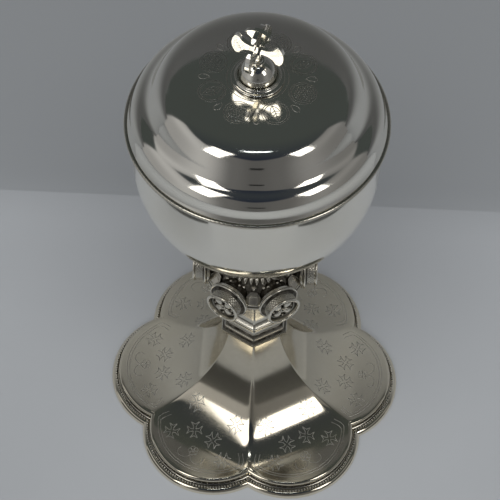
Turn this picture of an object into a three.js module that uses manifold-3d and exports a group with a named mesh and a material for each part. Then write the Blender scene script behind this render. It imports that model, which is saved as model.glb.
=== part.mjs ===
// Silver ciborium: a covered cup on a hexagonal spire that spreads into a foot of six round lobes.
// Millimetres, +Z up. The origin is on the table under the middle of the foot.
// The front arris of the spire points to -Y, so the lobes and the bosses face 30 degrees either side.

import * as THREE from 'three';
import { mergeVertices } from 'three/addons/utils/BufferGeometryUtils.js';
import Module from 'manifold-3d';

const wasm = await Module();
wasm.setup();

// Fits
const SEAT_GAP = 0.3;            // between two pieces that sit on each other
const SLIDE_GAP = 0.4;           // between the lid's sleeve and the bowl
const SADDLE_GAP = 0.4;          // between the bowl and the middle of its seat

// Foot: six lobes, each an arc about its own centre
const LOBES = 6;
const LOBE_CENTRE_RADIUS = 35.7;
const FLANGE_HEIGHT = 3.0;
const FLANGE_LEDGE = 1.75;       // beyond the milled wire
const FLANGE_EDGE_HEIGHT = 0.9;
const FLANGE_WIDTH = 6.0;
const FLANGE_ROUND = 2.2;         // width of the rounded edge
const GALLERY_HEIGHT = 2.0;
const GALLERY_PROUD = 0.35;      // beyond the shell's skirt
const GALLERY_WIDTH = 1.7;
const GALLERY_LIP = 0.4;
const FOOT_WIRE_RADIUS = 0.65;
const SHELL_LOBE_RADIUS = 30.95;
const SHELL_WALL = 1.2;
const SHELL_EDGE_HEIGHT = 7.7;   // top edge of a lobe at its outermost point
const NOTCH_RISE = 0.5;          // how much higher the skin is in the notches
const LOBE_FLATNESS = 7;         // how soon the skin levels out beyond the notches

// Spire: a hexagon whose arrises sweep out to the notches
const SPIRE_TOP = 56.0;
const SPIRE_TOP_CORNER = 13.6;
const SPIRE_STEEP = { corner: 16.8, height: 27.0 };
const SPIRE_SPREAD = { corner: 34.0, height: 12.0 };

// Tie rod, its washer and its nut
const ROD_RADIUS = 3.0;
const ROD_TAIL = 8.0;
const ROD_HEAD_RADIUS = 6.8;
const ROD_HEAD_HEIGHT = 1.9;
const WASHER_RADIUS = 8.4;
const WASHER_HEIGHT = 1.3;
const NUT_CORNER = 6.4;
const NUT_HEIGHT = 4.0;

// Hexagonal collar and neck between the spire and the knop
const COLLAR_CORNER = 17.4;
const COLLAR_STEP = 1.4;
const COLLAR_PLATE_HEIGHT = 2.9;
const COLLAR_STEP_HEIGHT = 1.8;
const COLLAR_EDGE = 0.5;          // softened edges of the plate
const COLLAR_HEIGHT = 7.7;
const NECK_CORNER = 12.7;
const NECK_FOOT = { spread: 0.7, height: 1.0 };
const NECK_UPRIGHT = 3.7;
const NECK_TOP_CORNER = 10.6;
const NECK_HEIGHT = 17.7;

// Knop with its tubular bosses
const KNOP_SIDES = 12;
const KNOP_HEIGHT = 30.6;
const KNOP_BOSS_HEIGHT = 17.14;  // axis of the bosses above the knop's base
const KNOP_APOTHEM = 21.3;
const KNOP_NECK = 10.6;
const KNOP_TOP_NECK = 10.2;
const KNOP_LIP = { relief: 0.7, below: 2.6, height: 1.1, edge: 0.5 };
const KNOP_SHOULDER_BELOW = 1.0;
const KNOP_WAIST = { apothem: 13.0, below: 4.4 };
const BOSS_SEAT_RADIUS = 8.9;
const BOSS_SEAT_DEPTH = 15.0;
const BOSS_RADIUS = 7.9;
const BOSS_LIP = { relief: 0.4, height: 1.2 };
const BOSS_BASE = { radius: 9.2, edge: 0.7, height: 1.7 };
const BOSS_LENGTH = 6.1;
const BOSS_RECESS = 3.6;
const BOSS_WALL = 1.3;
const PLAQUE_HEIGHT = 0.9;
const PLAQUE_PIP = 1.2;
const PETAL_SHARE = 0.42;        // petal radius over the reach of the flower
const PETAL_SWEEP = 112;         // degrees either side of a petal's tip
const PANEL_WIDTH = 7.6;
const PANEL_LENGTH = 11.0;
const PANEL_RELIEF = 0.9;
const PANEL_DEPTH = 2.0;
const BEAD_RADIUS = 1.5;
const BEAD_OUT = 0.4;

// Bowl and the seat that carries it
const BOWL_RADIUS = 50.5;
const BOWL_WALL = 1.4;
const BOWL_STRAIGHT = 21.2;      // upright wall above the half round
const BOWL_EDGE = 0.3;
const SEAT_HEIGHT = 16.3;
const SEAT_RADIUS = 20.0;
const SEAT_EDGE = 0.9;

// Lid: insets from its edge, and heights above the plane of its rim wire
const LID_OVERHANG = 2.5;        // beyond the bowl's wall
const LID_WIRE_RADIUS = 1.0;
const LID_WALL = 1.2;
const LID_CROWN_HEIGHT = 25.9;
const LID_HOLLOW = { inset: 11.8, height: 15.9 };
const LID_SHELF = { inset: 7.6, height: 10.9 };
const LID_SHOULDER = { inset: 2.9, height: 5.0 };
const LID_SKIRT = { inset: 1.4, height: 1.3 };
const SLEEVE_DEPTH = 7.3;
const SLEEVE_WALL = 1.1;
const BEARER_HEIGHT = 1.7;
const LID_TURN = -21.3;          // degrees that the cross is turned from the front

// Finial
const BALL_RADIUS = 7.4;
const BALL_SUNK = 5.4;           // height from the ball's flat base to its middle is radius less this
const FINIAL_COLLAR_RADIUS = 10.5;
const FINIAL_COLLAR_HEIGHT = 1.8;
const FINIAL_COLLAR_STEP = { inset: 1.2, height: 0.9, edge: 0.6 };
const FINIAL_COLLAR_TOP = 0.7;   // width of the upper ring
const STUD_RADIUS = 1.5;
const STUD_TAIL = 6.2;
const LID_WASHER_RADIUS = 5.5;
const LID_WASHER_HEIGHT = 1.2;
const LID_NUT_CORNER = 3.5;
const LID_NUT_HEIGHT = 3.2;
const CROSS_CENTRE_HEIGHT = 6.5; // above the ball's top
const CROSS_THICKNESS = 1.7;
const CROSS_NECK = 0.85;
const CROSS_WAIST = { along: 5.2, across: 1.1 };
const CROSS_TIP = { along: 8.0, across: 5.9 };
const CROSS_REACH = 10.6;
const CROSS_STEM = 1.3;

// Curves of the outlines: the headings in degrees, 0 outwards and 90 up, at which they leave
// and arrive, and how far each end pulls as a share of the straight distance
const NECK_CURVE = { leaves: 90, arrives: 90, pulls: [0.35, 0.4] };
const COLLAR_CURVE = { leaves: 180, arrives: 90, pulls: [0.45, 0.4] };
const KNOP_UNDER_CURVE = { leaves: 73, arrives: 59, pulls: [0.29, 0.32] };
const KNOP_WAIST_CURVE = { leaves: 135, arrives: 90, pulls: [0.45, 0.25] };
const SEAT_CURVE = { leaves: 113, arrives: 24, pulls: [0.3, 0.58] };
const DOME_CURVE = { leaves: 0, arrives: -65, pulls: [0.805, 0.263] };
const HOLLOW_CURVE = { leaves: -65, arrives: -28, pulls: [0.53, 0.31] };
const SHOULDER_CURVE = { leaves: -28, arrives: -77, pulls: [0.146, 0.552] };
const FLANGE_CURVE = { leaves: 90, arrives: 180, pulls: [0.4, 0.4] };
const GALLERY_CURVE = { leaves: 180, arrives: 0, pulls: [0.6, 0.6] };

// How finely round things are faceted
const ROUND = 32;
const SMALL_ROUND = 16;
const LOBE_STEPS = 8;

// Radii and heights worked out from the sizes above
const BORE = ROD_RADIUS + SEAT_GAP;
const GALLERY_LOBE_RADIUS = SHELL_LOBE_RADIUS + GALLERY_PROUD;
const WIRE_LOBE_RADIUS = GALLERY_LOBE_RADIUS + SEAT_GAP + FOOT_WIRE_RADIUS;
const FLANGE_LOBE_RADIUS = WIRE_LOBE_RADIUS + FOOT_WIRE_RADIUS + FLANGE_LEDGE;
const GALLERY_BASE = FLANGE_HEIGHT + SEAT_GAP;
const SKIRT_BASE = GALLERY_BASE + GALLERY_HEIGHT + SEAT_GAP;
const WASHER_BASE = SPIRE_TOP - SHELL_WALL - SEAT_GAP - WASHER_HEIGHT;
const NUT_BASE = WASHER_BASE - SEAT_GAP - NUT_HEIGHT;
const COLLAR_BASE = SPIRE_TOP + SEAT_GAP;
const NECK_BASE = COLLAR_BASE + COLLAR_HEIGHT + SEAT_GAP;
const KNOP_BASE = NECK_BASE + NECK_HEIGHT + SEAT_GAP;
const KNOP_MIDDLE = KNOP_BASE + KNOP_BOSS_HEIGHT;
const SEAT_BASE = KNOP_BASE + KNOP_HEIGHT + SEAT_GAP;
const BOWL_BASE = SEAT_BASE + SEAT_HEIGHT;
const BOWL_CENTRE = BOWL_BASE + BOWL_RADIUS;
const BOWL_RIM = BOWL_CENTRE + BOWL_STRAIGHT;
const LID_RADIUS = BOWL_RADIUS + LID_OVERHANG;
const RIM_PLANE = BOWL_RIM + SEAT_GAP + LID_WIRE_RADIUS;
const CROWN = RIM_PLANE + LID_CROWN_HEIGHT;
const STUD_BORE = STUD_RADIUS + SEAT_GAP;
const LID_WASHER_BASE = CROWN - LID_WALL - SEAT_GAP - LID_WASHER_HEIGHT;
const LID_NUT_BASE = LID_WASHER_BASE - SEAT_GAP - LID_NUT_HEIGHT;
const BALL_BASE = CROWN + SEAT_GAP;
const BALL_CENTRE = BALL_BASE + BALL_RADIUS - BALL_SUNK;
const BALL_TOP = BALL_CENTRE + BALL_RADIUS;

// Finishes
const polished = new THREE.MeshStandardMaterial({ color: 0xc9c7c2, roughness: 0.12, metalness: 1 });
const cast = new THREE.MeshStandardMaterial({ color: 0xb5af9f, roughness: 0.32, metalness: 1 });
const brass = new THREE.MeshStandardMaterial({ color: 0xb59a5b, roughness: 0.4, metalness: 1 });

// Turns the faces outwards if a shape was built inside out
function facingOut(geometry) {
  const plain = geometry.index ? geometry.toNonIndexed() : geometry;
  const p = plain.attributes.position;
  const a = new THREE.Vector3();
  const b = new THREE.Vector3();
  const c = new THREE.Vector3();
  let volume = 0;
  for (let i = 0; i < p.count; i += 3) {
    a.fromBufferAttribute(p, i);
    b.fromBufferAttribute(p, i + 1);
    c.fromBufferAttribute(p, i + 2);
    volume += a.dot(b.cross(c));
  }
  if (volume < 0) {
    for (let i = 0; i < p.count; i += 3) {
      b.fromBufferAttribute(p, i + 1);
      c.fromBufferAttribute(p, i + 2);
      p.setXYZ(i + 1, c.x, c.y, c.z);
      p.setXYZ(i + 2, b.x, b.y, b.z);
    }
  }
  const bare = new THREE.BufferGeometry();
  bare.setAttribute('position', p);
  return mergeVertices(bare, 1e-4);
}

// Turned piece about +Z; its first vertex column lies at -Y, or half a side on from it
function turned(profile, sides = ROUND, faceFirst = false) {
  const points = profile.map(([radius, height]) => new THREE.Vector2(radius, height));
  const start = faceFirst ? Math.PI / sides : 0;
  const geometry = new THREE.LatheGeometry(points, sides, start, Math.PI * 2);
  geometry.rotateX(Math.PI / 2);
  return facingOut(geometry);
}

// Closed ring profile: the last point repeats the first
function ringProfile(points) {
  return [...points, points[0]];
}

// Points of an outline's curve between two places, leaving out the first when it carries on from another
function sweep(from, to, { leaves, arrives, pulls }, steps, follows = false) {
  const start = new THREE.Vector2(...from);
  const end = new THREE.Vector2(...to);
  const distance = start.distanceTo(end);
  const pulled = (place, degrees, length) => {
    const heading = THREE.MathUtils.degToRad(degrees);
    return new THREE.Vector2(place.x + length * Math.cos(heading), place.y + length * Math.sin(heading));
  };
  const path = new THREE.CubicBezierCurve(
    start,
    pulled(start, leaves, pulls[0] * distance),
    pulled(end, arrives, -pulls[1] * distance),
    end,
  );
  const points = path.getPoints(steps).map((v) => [v.x, v.y]);
  return follows ? points.slice(1) : points;
}

// Arc in the radius-height plane, in degrees from the outward direction
function arc(radius, height, size, from, to, steps) {
  const points = [];
  for (let i = 0; i <= steps; i += 1) {
    const angle = THREE.MathUtils.degToRad(from + ((to - from) * i) / steps);
    points.push([radius + size * Math.cos(angle), height + size * Math.sin(angle)]);
  }
  return points;
}

// A sheet of even thickness: the curve, then the same curve set in by its wall and walked back
function thickened(points, wall) {
  const inner = points.map((point, i) => {
    const before = points[Math.max(i - 1, 0)];
    const after = points[Math.min(i + 1, points.length - 1)];
    const along = new THREE.Vector2(after[0] - before[0], after[1] - before[1]).normalize();
    return [point[0] + along.y * wall, point[1] - along.x * wall];
  });
  return { outer: points, inner: inner.reverse() };
}

// Plan of the foot: polar points of six arcs that meet in notches
function lobedPlan(lobeRadius) {
  const points = [];
  const halfStep = Math.PI / LOBES;
  const across = LOBE_CENTRE_RADIUS * Math.sin(halfStep);
  const notch = LOBE_CENTRE_RADIUS * Math.cos(halfStep) + Math.sqrt(lobeRadius ** 2 - across ** 2);
  const sweep = Math.atan2(notch * Math.sin(halfStep), notch * Math.cos(halfStep) - LOBE_CENTRE_RADIUS);
  for (let lobe = 0; lobe < LOBES; lobe += 1) {
    const middle = -Math.PI / 2 + halfStep + lobe * 2 * halfStep;
    for (let i = 0; i < LOBE_STEPS; i += 1) {
      const angle = -sweep + (2 * sweep * i) / LOBE_STEPS;
      const x = LOBE_CENTRE_RADIUS + lobeRadius * Math.cos(angle);
      const y = lobeRadius * Math.sin(angle);
      points.push({ radius: Math.hypot(x, y), angle: middle + Math.atan2(y, x), middle });
    }
  }
  return points;
}

// Solid between rings of points, where the last ring joins the first again
function ringsSolid(rings) {
  const count = rings[0].length;
  const vertices = [];
  const faces = [];
  rings.forEach((ring) => ring.forEach((v) => vertices.push(v.x, v.y, v.z)));
  rings.forEach((ring, r) => {
    const next = ((r + 1) % rings.length) * count;
    for (let i = 0; i < count; i += 1) {
      const j = (i + 1) % count;
      faces.push(r * count + i, next + i, next + j);
      faces.push(r * count + i, next + j, r * count + j);
    }
  });
  const geometry = new THREE.BufferGeometry();
  geometry.setAttribute('position', new THREE.Float32BufferAttribute(vertices, 3));
  geometry.setIndex(faces);
  return facingOut(geometry);
}

// Moulding that runs round the lobes with the given section of [lobe radius, height]
function lobedMoulding(section) {
  const rings = section.map(([lobeRadius, height]) => lobedPlan(lobeRadius).map(
    (p) => new THREE.Vector3(p.radius * Math.cos(p.angle), p.radius * Math.sin(p.angle), height),
  ));
  return ringsSolid(rings);
}

// Solids for joining and cutting
function toSolid(geometry) {
  const bare = new THREE.BufferGeometry();
  const source = geometry.index ? geometry.toNonIndexed() : geometry;
  bare.setAttribute('position', source.attributes.position);
  const merged = mergeVertices(bare, 1e-4);
  return new wasm.Manifold(new wasm.Mesh({
    numProp: 3,
    vertProperties: new Float32Array(merged.attributes.position.array),
    triVerts: new Uint32Array(merged.index.array),
  }));
}

function fromSolid(solid) {
  const mesh = solid.getMesh();
  const geometry = new THREE.BufferGeometry();
  geometry.setAttribute('position', new THREE.Float32BufferAttribute(mesh.vertProperties, 3));
  geometry.setIndex(new THREE.Uint32BufferAttribute(mesh.triVerts, 1));
  return geometry;
}

function joined(geometries, cutters = []) {
  const whole = geometries.map(toSolid).reduce((all, next) => all.add(next));
  return fromSolid(cutters.map(toSolid).reduce((all, next) => all.subtract(next), whole));
}

function piece(name, geometry, material, parent) {
  const mesh = new THREE.Mesh(geometry, material);
  mesh.name = name;
  parent.add(mesh);
  return mesh;
}

// Points a shape built along +Z out along +X, then round to its place on the knop
function facingAway(geometry, degrees, radius, height) {
  geometry.rotateY(Math.PI / 2);
  geometry.translate(radius, 0, 0);
  geometry.rotateZ(THREE.MathUtils.degToRad(degrees));
  geometry.translate(0, 0, height);
  return geometry;
}

// Spire and lobes: the height of the skin at a distance measured square to a face
const cornerToFace = Math.cos(Math.PI / LOBES);
const notchCorner = lobedPlan(SHELL_LOBE_RADIUS)[0].radius;
const lobeReach = LOBE_CENTRE_RADIUS + SHELL_LOBE_RADIUS;
const arris = new THREE.CubicBezierCurve(
  new THREE.Vector2(SPIRE_TOP_CORNER, SPIRE_TOP),
  new THREE.Vector2(SPIRE_STEEP.corner, SPIRE_STEEP.height),
  new THREE.Vector2(SPIRE_SPREAD.corner, SPIRE_SPREAD.height),
  new THREE.Vector2(notchCorner, SHELL_EDGE_HEIGHT + NOTCH_RISE),
);

function skinHeight(face) {
  const corner = face / cornerToFace;
  if (corner >= notchCorner) {
    const left = (lobeReach - face) / (lobeReach - notchCorner * cornerToFace);
    return SHELL_EDGE_HEIGHT + NOTCH_RISE * left ** LOBE_FLATNESS;
  }
  let low = 0;
  let high = 1;
  for (let i = 0; i < 40; i += 1) {
    const middle = (low + high) / 2;
    if (arris.getPoint(middle).x < corner) low = middle;
    else high = middle;
  }
  return arris.getPoint(low).y;
}

function footShell() {
  const plan = lobedPlan(SHELL_LOBE_RADIUS);
  const innerPlan = lobedPlan(SHELL_LOBE_RADIUS - SHELL_WALL);
  const at = (p, radius, height) => new THREE.Vector3(
    radius * Math.cos(p.angle),
    radius * Math.sin(p.angle),
    height,
  );
  const hexagon = (face, height) => plan.map((p) => at(p, face / Math.cos(p.angle - p.middle), height));
  const circle = (radius, height) => plan.map((p) => at(p, radius, height));
  const skin = [];
  const lining = [];
  const steps = 6;
  const lastHexagon = 0.62;
  for (let i = 0; i <= steps; i += 1) {
    const t = (lastHexagon * i) / steps;
    const point = arris.getPoint(t);
    const along = arris.getTangent(t);
    const face = point.x * cornerToFace;
    const square = new THREE.Vector2(along.x * cornerToFace, along.y).normalize();
    skin.push(hexagon(face, point.y));
    if (i > 0) lining.push(hexagon(face + square.y * SHELL_WALL, point.y - square.x * SHELL_WALL));
  }
  const topFace = SPIRE_TOP_CORNER * cornerToFace - SHELL_WALL;
  lining.unshift(hexagon(topFace, SPIRE_TOP - SHELL_WALL));
  const edgeFace = arris.getPoint(lastHexagon).x * cornerToFace;
  const spread = [0.4, 0.75, 1];
  spread.forEach((share) => {
    skin.push(plan.map((p) => {
      const start = edgeFace / Math.cos(p.angle - p.middle);
      const radius = start + (p.radius - start) * share;
      return at(p, radius, skinHeight(radius * Math.cos(p.angle - p.middle)));
    }));
    lining.push(innerPlan.map((p) => {
      const start = (edgeFace - SHELL_WALL * 0.4) / Math.cos(p.angle - p.middle);
      const radius = start + (p.radius - start) * share;
      const face = radius * Math.cos(p.angle - p.middle);
      return at(p, radius, skinHeight(face) - SHELL_WALL);
    }));
  });
  const skirtOuter = plan.map((p) => at(p, p.radius, SKIRT_BASE));
  const skirtInner = innerPlan.map((p) => at(p, p.radius, SKIRT_BASE));
  return ringsSolid([
    circle(BORE, SPIRE_TOP),
    ...skin,
    skirtOuter,
    skirtInner,
    ...lining.reverse(),
    circle(BORE, SPIRE_TOP - SHELL_WALL),
  ]);
}

function footFlange() {
  const inner = FLANGE_LOBE_RADIUS - FLANGE_WIDTH;
  return lobedMoulding([
    [inner, 0],
    [FLANGE_LOBE_RADIUS, 0],
    ...sweep([FLANGE_LOBE_RADIUS, FLANGE_EDGE_HEIGHT], [FLANGE_LOBE_RADIUS - FLANGE_ROUND, FLANGE_HEIGHT],
      FLANGE_CURVE, 3),
    [inner, FLANGE_HEIGHT],
  ]);
}

function footGallery() {
  const top = GALLERY_BASE + GALLERY_HEIGHT;
  return lobedMoulding([
    [GALLERY_LOBE_RADIUS - GALLERY_WIDTH, GALLERY_BASE],
    [GALLERY_LOBE_RADIUS, GALLERY_BASE],
    ...sweep([GALLERY_LOBE_RADIUS, GALLERY_BASE + GALLERY_LIP], [GALLERY_LOBE_RADIUS - GALLERY_LIP, top],
      GALLERY_CURVE, 3),
    [GALLERY_LOBE_RADIUS - GALLERY_WIDTH, top],
  ]);
}

function footWire() {
  const height = FLANGE_HEIGHT + SEAT_GAP + FOOT_WIRE_RADIUS;
  return lobedMoulding(arc(WIRE_LOBE_RADIUS, height, FOOT_WIRE_RADIUS, 0, 288, 4));
}

function lowerCollar() {
  const plateTop = COLLAR_BASE + COLLAR_PLATE_HEIGHT;
  const step = COLLAR_CORNER - COLLAR_STEP;
  const top = COLLAR_BASE + COLLAR_HEIGHT;
  return turned(ringProfile([
    [BORE / cornerToFace, COLLAR_BASE],
    [COLLAR_CORNER - COLLAR_EDGE, COLLAR_BASE],
    [COLLAR_CORNER, COLLAR_BASE + COLLAR_EDGE],
    [COLLAR_CORNER, plateTop - COLLAR_EDGE],
    [COLLAR_CORNER - COLLAR_EDGE, plateTop],
    [step, plateTop],
    ...sweep([step, plateTop + COLLAR_STEP_HEIGHT], [NECK_CORNER + NECK_FOOT.spread, top], COLLAR_CURVE, 4),
    [BORE / cornerToFace, top],
  ]), LOBES);
}

function stemNeck() {
  const top = NECK_BASE + NECK_HEIGHT;
  return turned(ringProfile([
    [BORE / cornerToFace, NECK_BASE],
    [NECK_CORNER + NECK_FOOT.spread, NECK_BASE],
    [NECK_CORNER, NECK_BASE + NECK_FOOT.height],
    ...sweep([NECK_CORNER, NECK_BASE + NECK_UPRIGHT], [NECK_TOP_CORNER, top], NECK_CURVE, 4),
    [BORE / cornerToFace, top],
  ]), LOBES);
}

// Twelve-sided cast core, with a flat seat for each boss and a shield panel and bead between them
function knopBody() {
  const top = KNOP_BASE + KNOP_HEIGHT;
  const lipBase = KNOP_MIDDLE - KNOP_LIP.below;
  const lip = KNOP_APOTHEM + KNOP_LIP.relief;
  const shoulder = [KNOP_APOTHEM, KNOP_MIDDLE - KNOP_SHOULDER_BELOW];
  const waist = [KNOP_WAIST.apothem, top - KNOP_WAIST.below];
  const sides = [
    [KNOP_NECK, KNOP_BASE],
    ...sweep([KNOP_NECK, KNOP_BASE], [KNOP_APOTHEM, lipBase], KNOP_UNDER_CURVE, 5, true),
    [lip, lipBase + KNOP_LIP.edge],
    [lip, lipBase + KNOP_LIP.height],
    shoulder,
    waist,
    ...sweep(waist, [KNOP_TOP_NECK, top], KNOP_WAIST_CURVE, 3, true),
  ].map(([apothem, height]) => [apothem / Math.cos(Math.PI / KNOP_SIDES), height]);
  const core = turned(ringProfile([[BORE, KNOP_BASE], ...sides, [BORE, top]]), KNOP_SIDES, true);
  const solids = [core];
  const clearings = [];
  const slope = Math.atan2(shoulder[0] - waist[0], waist[1] - shoulder[1]);
  for (let i = 0; i < LOBES; i += 1) {
    const bossAngle = -60 + 60 * i;
    const panelAngle = -90 + 60 * i;
    const seat = drum(BOSS_SEAT_RADIUS, BOSS_SEAT_DEPTH);
    solids.push(facingAway(seat, bossAngle, KNOP_APOTHEM - BOSS_SEAT_DEPTH, KNOP_MIDDLE));
    const clearing = drum(BOSS_BASE.radius + SEAT_GAP, BOSS_LENGTH);
    clearings.push(facingAway(clearing, bossAngle, KNOP_APOTHEM, KNOP_MIDDLE));

    const panel = new THREE.ExtrudeGeometry(shieldShape(), {
      depth: PANEL_DEPTH,
      bevelEnabled: false,
      curveSegments: 3,
    });
    panel.translate(0, 0, PANEL_RELIEF - PANEL_DEPTH);
    panel.rotateZ(Math.PI);
    panel.rotateY(-slope);
    solids.push(facingAway(panel, panelAngle, (shoulder[0] + waist[0]) / 2, (shoulder[1] + waist[1]) / 2));

    const bead = new THREE.SphereGeometry(BEAD_RADIUS, 6, 5);
    bead.translate(waist[0] + BEAD_OUT, 0, waist[1]);
    bead.rotateZ(THREE.MathUtils.degToRad(panelAngle));
    solids.push(bead);
  }
  return joined(solids, clearings);
}

// Short cylinder that stands on its end at the origin
function drum(radius, length) {
  const geometry = new THREE.CylinderGeometry(radius, radius, length, SMALL_ROUND);
  geometry.rotateX(Math.PI / 2);
  geometry.translate(0, 0, length / 2);
  return geometry;
}

// Shield with a flat head, leaf-shaped sides and a blunt point; its length runs along X
function shieldShape() {
  const half = PANEL_WIDTH / 2;
  const head = -PANEL_LENGTH / 2;
  const foot = PANEL_LENGTH / 2;
  const shape = new THREE.Shape();
  shape.moveTo(head, -half * 0.55);
  shape.quadraticCurveTo(head + PANEL_LENGTH * 0.35, -half * 1.3, foot - 2, -half * 0.9);
  shape.lineTo(foot, -half * 0.6);
  shape.lineTo(foot, half * 0.6);
  shape.lineTo(foot - 2, half * 0.9);
  shape.quadraticCurveTo(head + PANEL_LENGTH * 0.35, half * 1.3, head, half * 0.55);
  shape.closePath();
  return shape;
}

// Open tube with a moulded foot, a lip and a recess for its plaque
function boss() {
  const tube = BOSS_RADIUS - BOSS_LIP.relief;
  const bore = BOSS_RADIUS - BOSS_WALL;
  return turned([
    [0, 0],
    [BOSS_BASE.radius, 0],
    [BOSS_BASE.radius, BOSS_BASE.edge],
    [tube, BOSS_BASE.height],
    [tube, BOSS_LENGTH - BOSS_LIP.height],
    [BOSS_RADIUS, BOSS_LENGTH - BOSS_LIP.height + BOSS_LIP.relief],
    [BOSS_RADIUS, BOSS_LENGTH],
    [bore, BOSS_LENGTH],
    [bore, BOSS_LENGTH - BOSS_RECESS],
    [0, BOSS_LENGTH - BOSS_RECESS],
  ], SMALL_ROUND);
}

// Four-petalled flower with a raised pip
function plaque() {
  const reach = BOSS_RADIUS - BOSS_WALL - 2 * SEAT_GAP;
  const petal = reach * PETAL_SHARE;
  const away = reach - petal;
  const opening = THREE.MathUtils.degToRad(PETAL_SWEEP);
  const shape = new THREE.Shape();
  for (let i = 0; i < 4; i += 1) {
    const middle = (Math.PI / 2) * i;
    const x = away * Math.cos(middle);
    const y = away * Math.sin(middle);
    shape.absarc(x, y, petal, middle - opening, middle + opening, false);
  }
  shape.closePath();
  const flower = new THREE.ExtrudeGeometry(shape, {
    depth: PLAQUE_HEIGHT,
    bevelEnabled: false,
    curveSegments: 3,
  });
  const pip = new THREE.SphereGeometry(PLAQUE_PIP, 6, 4);
  pip.translate(0, 0, PLAQUE_HEIGHT);
  return joined([flower, pip]);
}

function bowlHeight(radius, clearance) {
  return BOWL_CENTRE - Math.sqrt((BOWL_RADIUS + clearance) ** 2 - radius ** 2);
}

// Round seat under the bowl, sunk in the middle for the head of the tie rod
function bowlSeat() {
  const pocket = ROD_HEAD_RADIUS + SEAT_GAP;
  const pocketFloor = BOWL_BASE - 2 * SEAT_GAP - ROD_HEAD_HEIGHT;
  const saddle = (pocket + SEAT_RADIUS) / 2;
  const top = bowlHeight(SEAT_RADIUS, SEAT_GAP);
  return turned(ringProfile([
    [BORE, SEAT_BASE],
    ...sweep([KNOP_TOP_NECK, SEAT_BASE], [SEAT_RADIUS, top - SEAT_EDGE], SEAT_CURVE, 6),
    [SEAT_RADIUS, top],
    [saddle, bowlHeight(saddle, SADDLE_GAP)],
    [pocket, bowlHeight(pocket, SADDLE_GAP)],
    [pocket, pocketFloor],
    [BORE, pocketFloor],
  ]), 20);
}

function tieRod() {
  const top = BOWL_BASE - SEAT_GAP;
  const tail = NUT_BASE + NUT_HEIGHT - ROD_TAIL;
  return turned([
    [0, tail],
    [ROD_RADIUS, tail],
    [ROD_RADIUS, top - ROD_HEAD_HEIGHT],
    [ROD_HEAD_RADIUS, top - ROD_HEAD_HEIGHT],
    [ROD_HEAD_RADIUS, top],
    [0, top],
  ], SMALL_ROUND);
}

// Flat ring, round outside or with six corners
function plainRing(bore, radius, base, height, sides = SMALL_ROUND) {
  return turned(ringProfile([
    [bore, base],
    [radius, base],
    [radius, base + height],
    [bore, base + height],
  ]), sides);
}

function bowl() {
  const inner = BOWL_RADIUS - BOWL_WALL;
  return turned([
    ...arc(0, BOWL_CENTRE, BOWL_RADIUS, -90, 0, 8),
    [BOWL_RADIUS, BOWL_RIM - BOWL_EDGE],
    [BOWL_RADIUS - BOWL_EDGE, BOWL_RIM],
    [inner + BOWL_EDGE, BOWL_RIM],
    [inner, BOWL_RIM - BOWL_EDGE],
    ...arc(0, BOWL_CENTRE, inner, 0, -90, 8),
  ].map(([radius, height]) => [Math.abs(radius) < 1e-6 ? 0 : radius, height]));
}

// Low dome with a rounded wall, a hollow, a shoulder and a skirt, raised in one sheet
function lidShell() {
  const [hollow, shelf, shoulder, skirt] = [LID_HOLLOW, LID_SHELF, LID_SHOULDER, LID_SKIRT].map(
    ({ inset, height }) => [LID_RADIUS - inset, RIM_PLANE + height],
  );
  const sheet = thickened([
    ...sweep([STUD_BORE, CROWN], hollow, DOME_CURVE, 7),
    ...sweep(hollow, shelf, HOLLOW_CURVE, 3, true),
    ...sweep(shelf, shoulder, SHOULDER_CURVE, 4, true),
    skirt,
  ], LID_WALL);
  const lining = sheet.inner.map(([radius, height]) => [Math.max(radius, STUD_BORE), height]);
  return turned(ringProfile([...sheet.outer, ...lining]));
}

function lidRimWire() {
  return turned(ringProfile(arc(LID_RADIUS - LID_WIRE_RADIUS, RIM_PLANE, LID_WIRE_RADIUS, 0, 300, 5)));
}

// Sleeve that drops into the bowl, with the bearer that rests on the bowl's rim
function lidSleeve() {
  const outer = BOWL_RADIUS - BOWL_WALL - SLIDE_GAP;
  const bearer = LID_RADIUS - 2 * LID_WIRE_RADIUS - SEAT_GAP;
  const rest = BOWL_RIM + SEAT_GAP;
  return turned(ringProfile([
    [outer - SLEEVE_WALL, rest - SLEEVE_DEPTH],
    [outer, rest - SLEEVE_DEPTH],
    [outer, rest],
    [bearer, rest],
    [bearer, rest + BEARER_HEIGHT],
    [outer - SLEEVE_WALL, rest + BEARER_HEIGHT],
  ]));
}

function finialCollar() {
  const inner = BALL_RADIUS + SEAT_GAP;
  const { inset, height, edge } = FINIAL_COLLAR_STEP;
  return turned(ringProfile([
    [inner, BALL_BASE],
    [FINIAL_COLLAR_RADIUS, BALL_BASE],
    [FINIAL_COLLAR_RADIUS, BALL_BASE + edge],
    [FINIAL_COLLAR_RADIUS - inset, BALL_BASE + height],
    [inner + FINIAL_COLLAR_TOP, BALL_BASE + FINIAL_COLLAR_HEIGHT],
    [inner, BALL_BASE + FINIAL_COLLAR_HEIGHT],
  ]), 20);
}

function finialBall() {
  const low = -THREE.MathUtils.radToDeg(Math.asin((BALL_CENTRE - BALL_BASE) / BALL_RADIUS));
  const high = THREE.MathUtils.radToDeg(Math.acos(STUD_BORE / BALL_RADIUS));
  return turned(ringProfile([
    [STUD_BORE, BALL_BASE],
    ...arc(0, BALL_CENTRE, BALL_RADIUS, low, high, 7),
  ]), 20);
}

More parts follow.
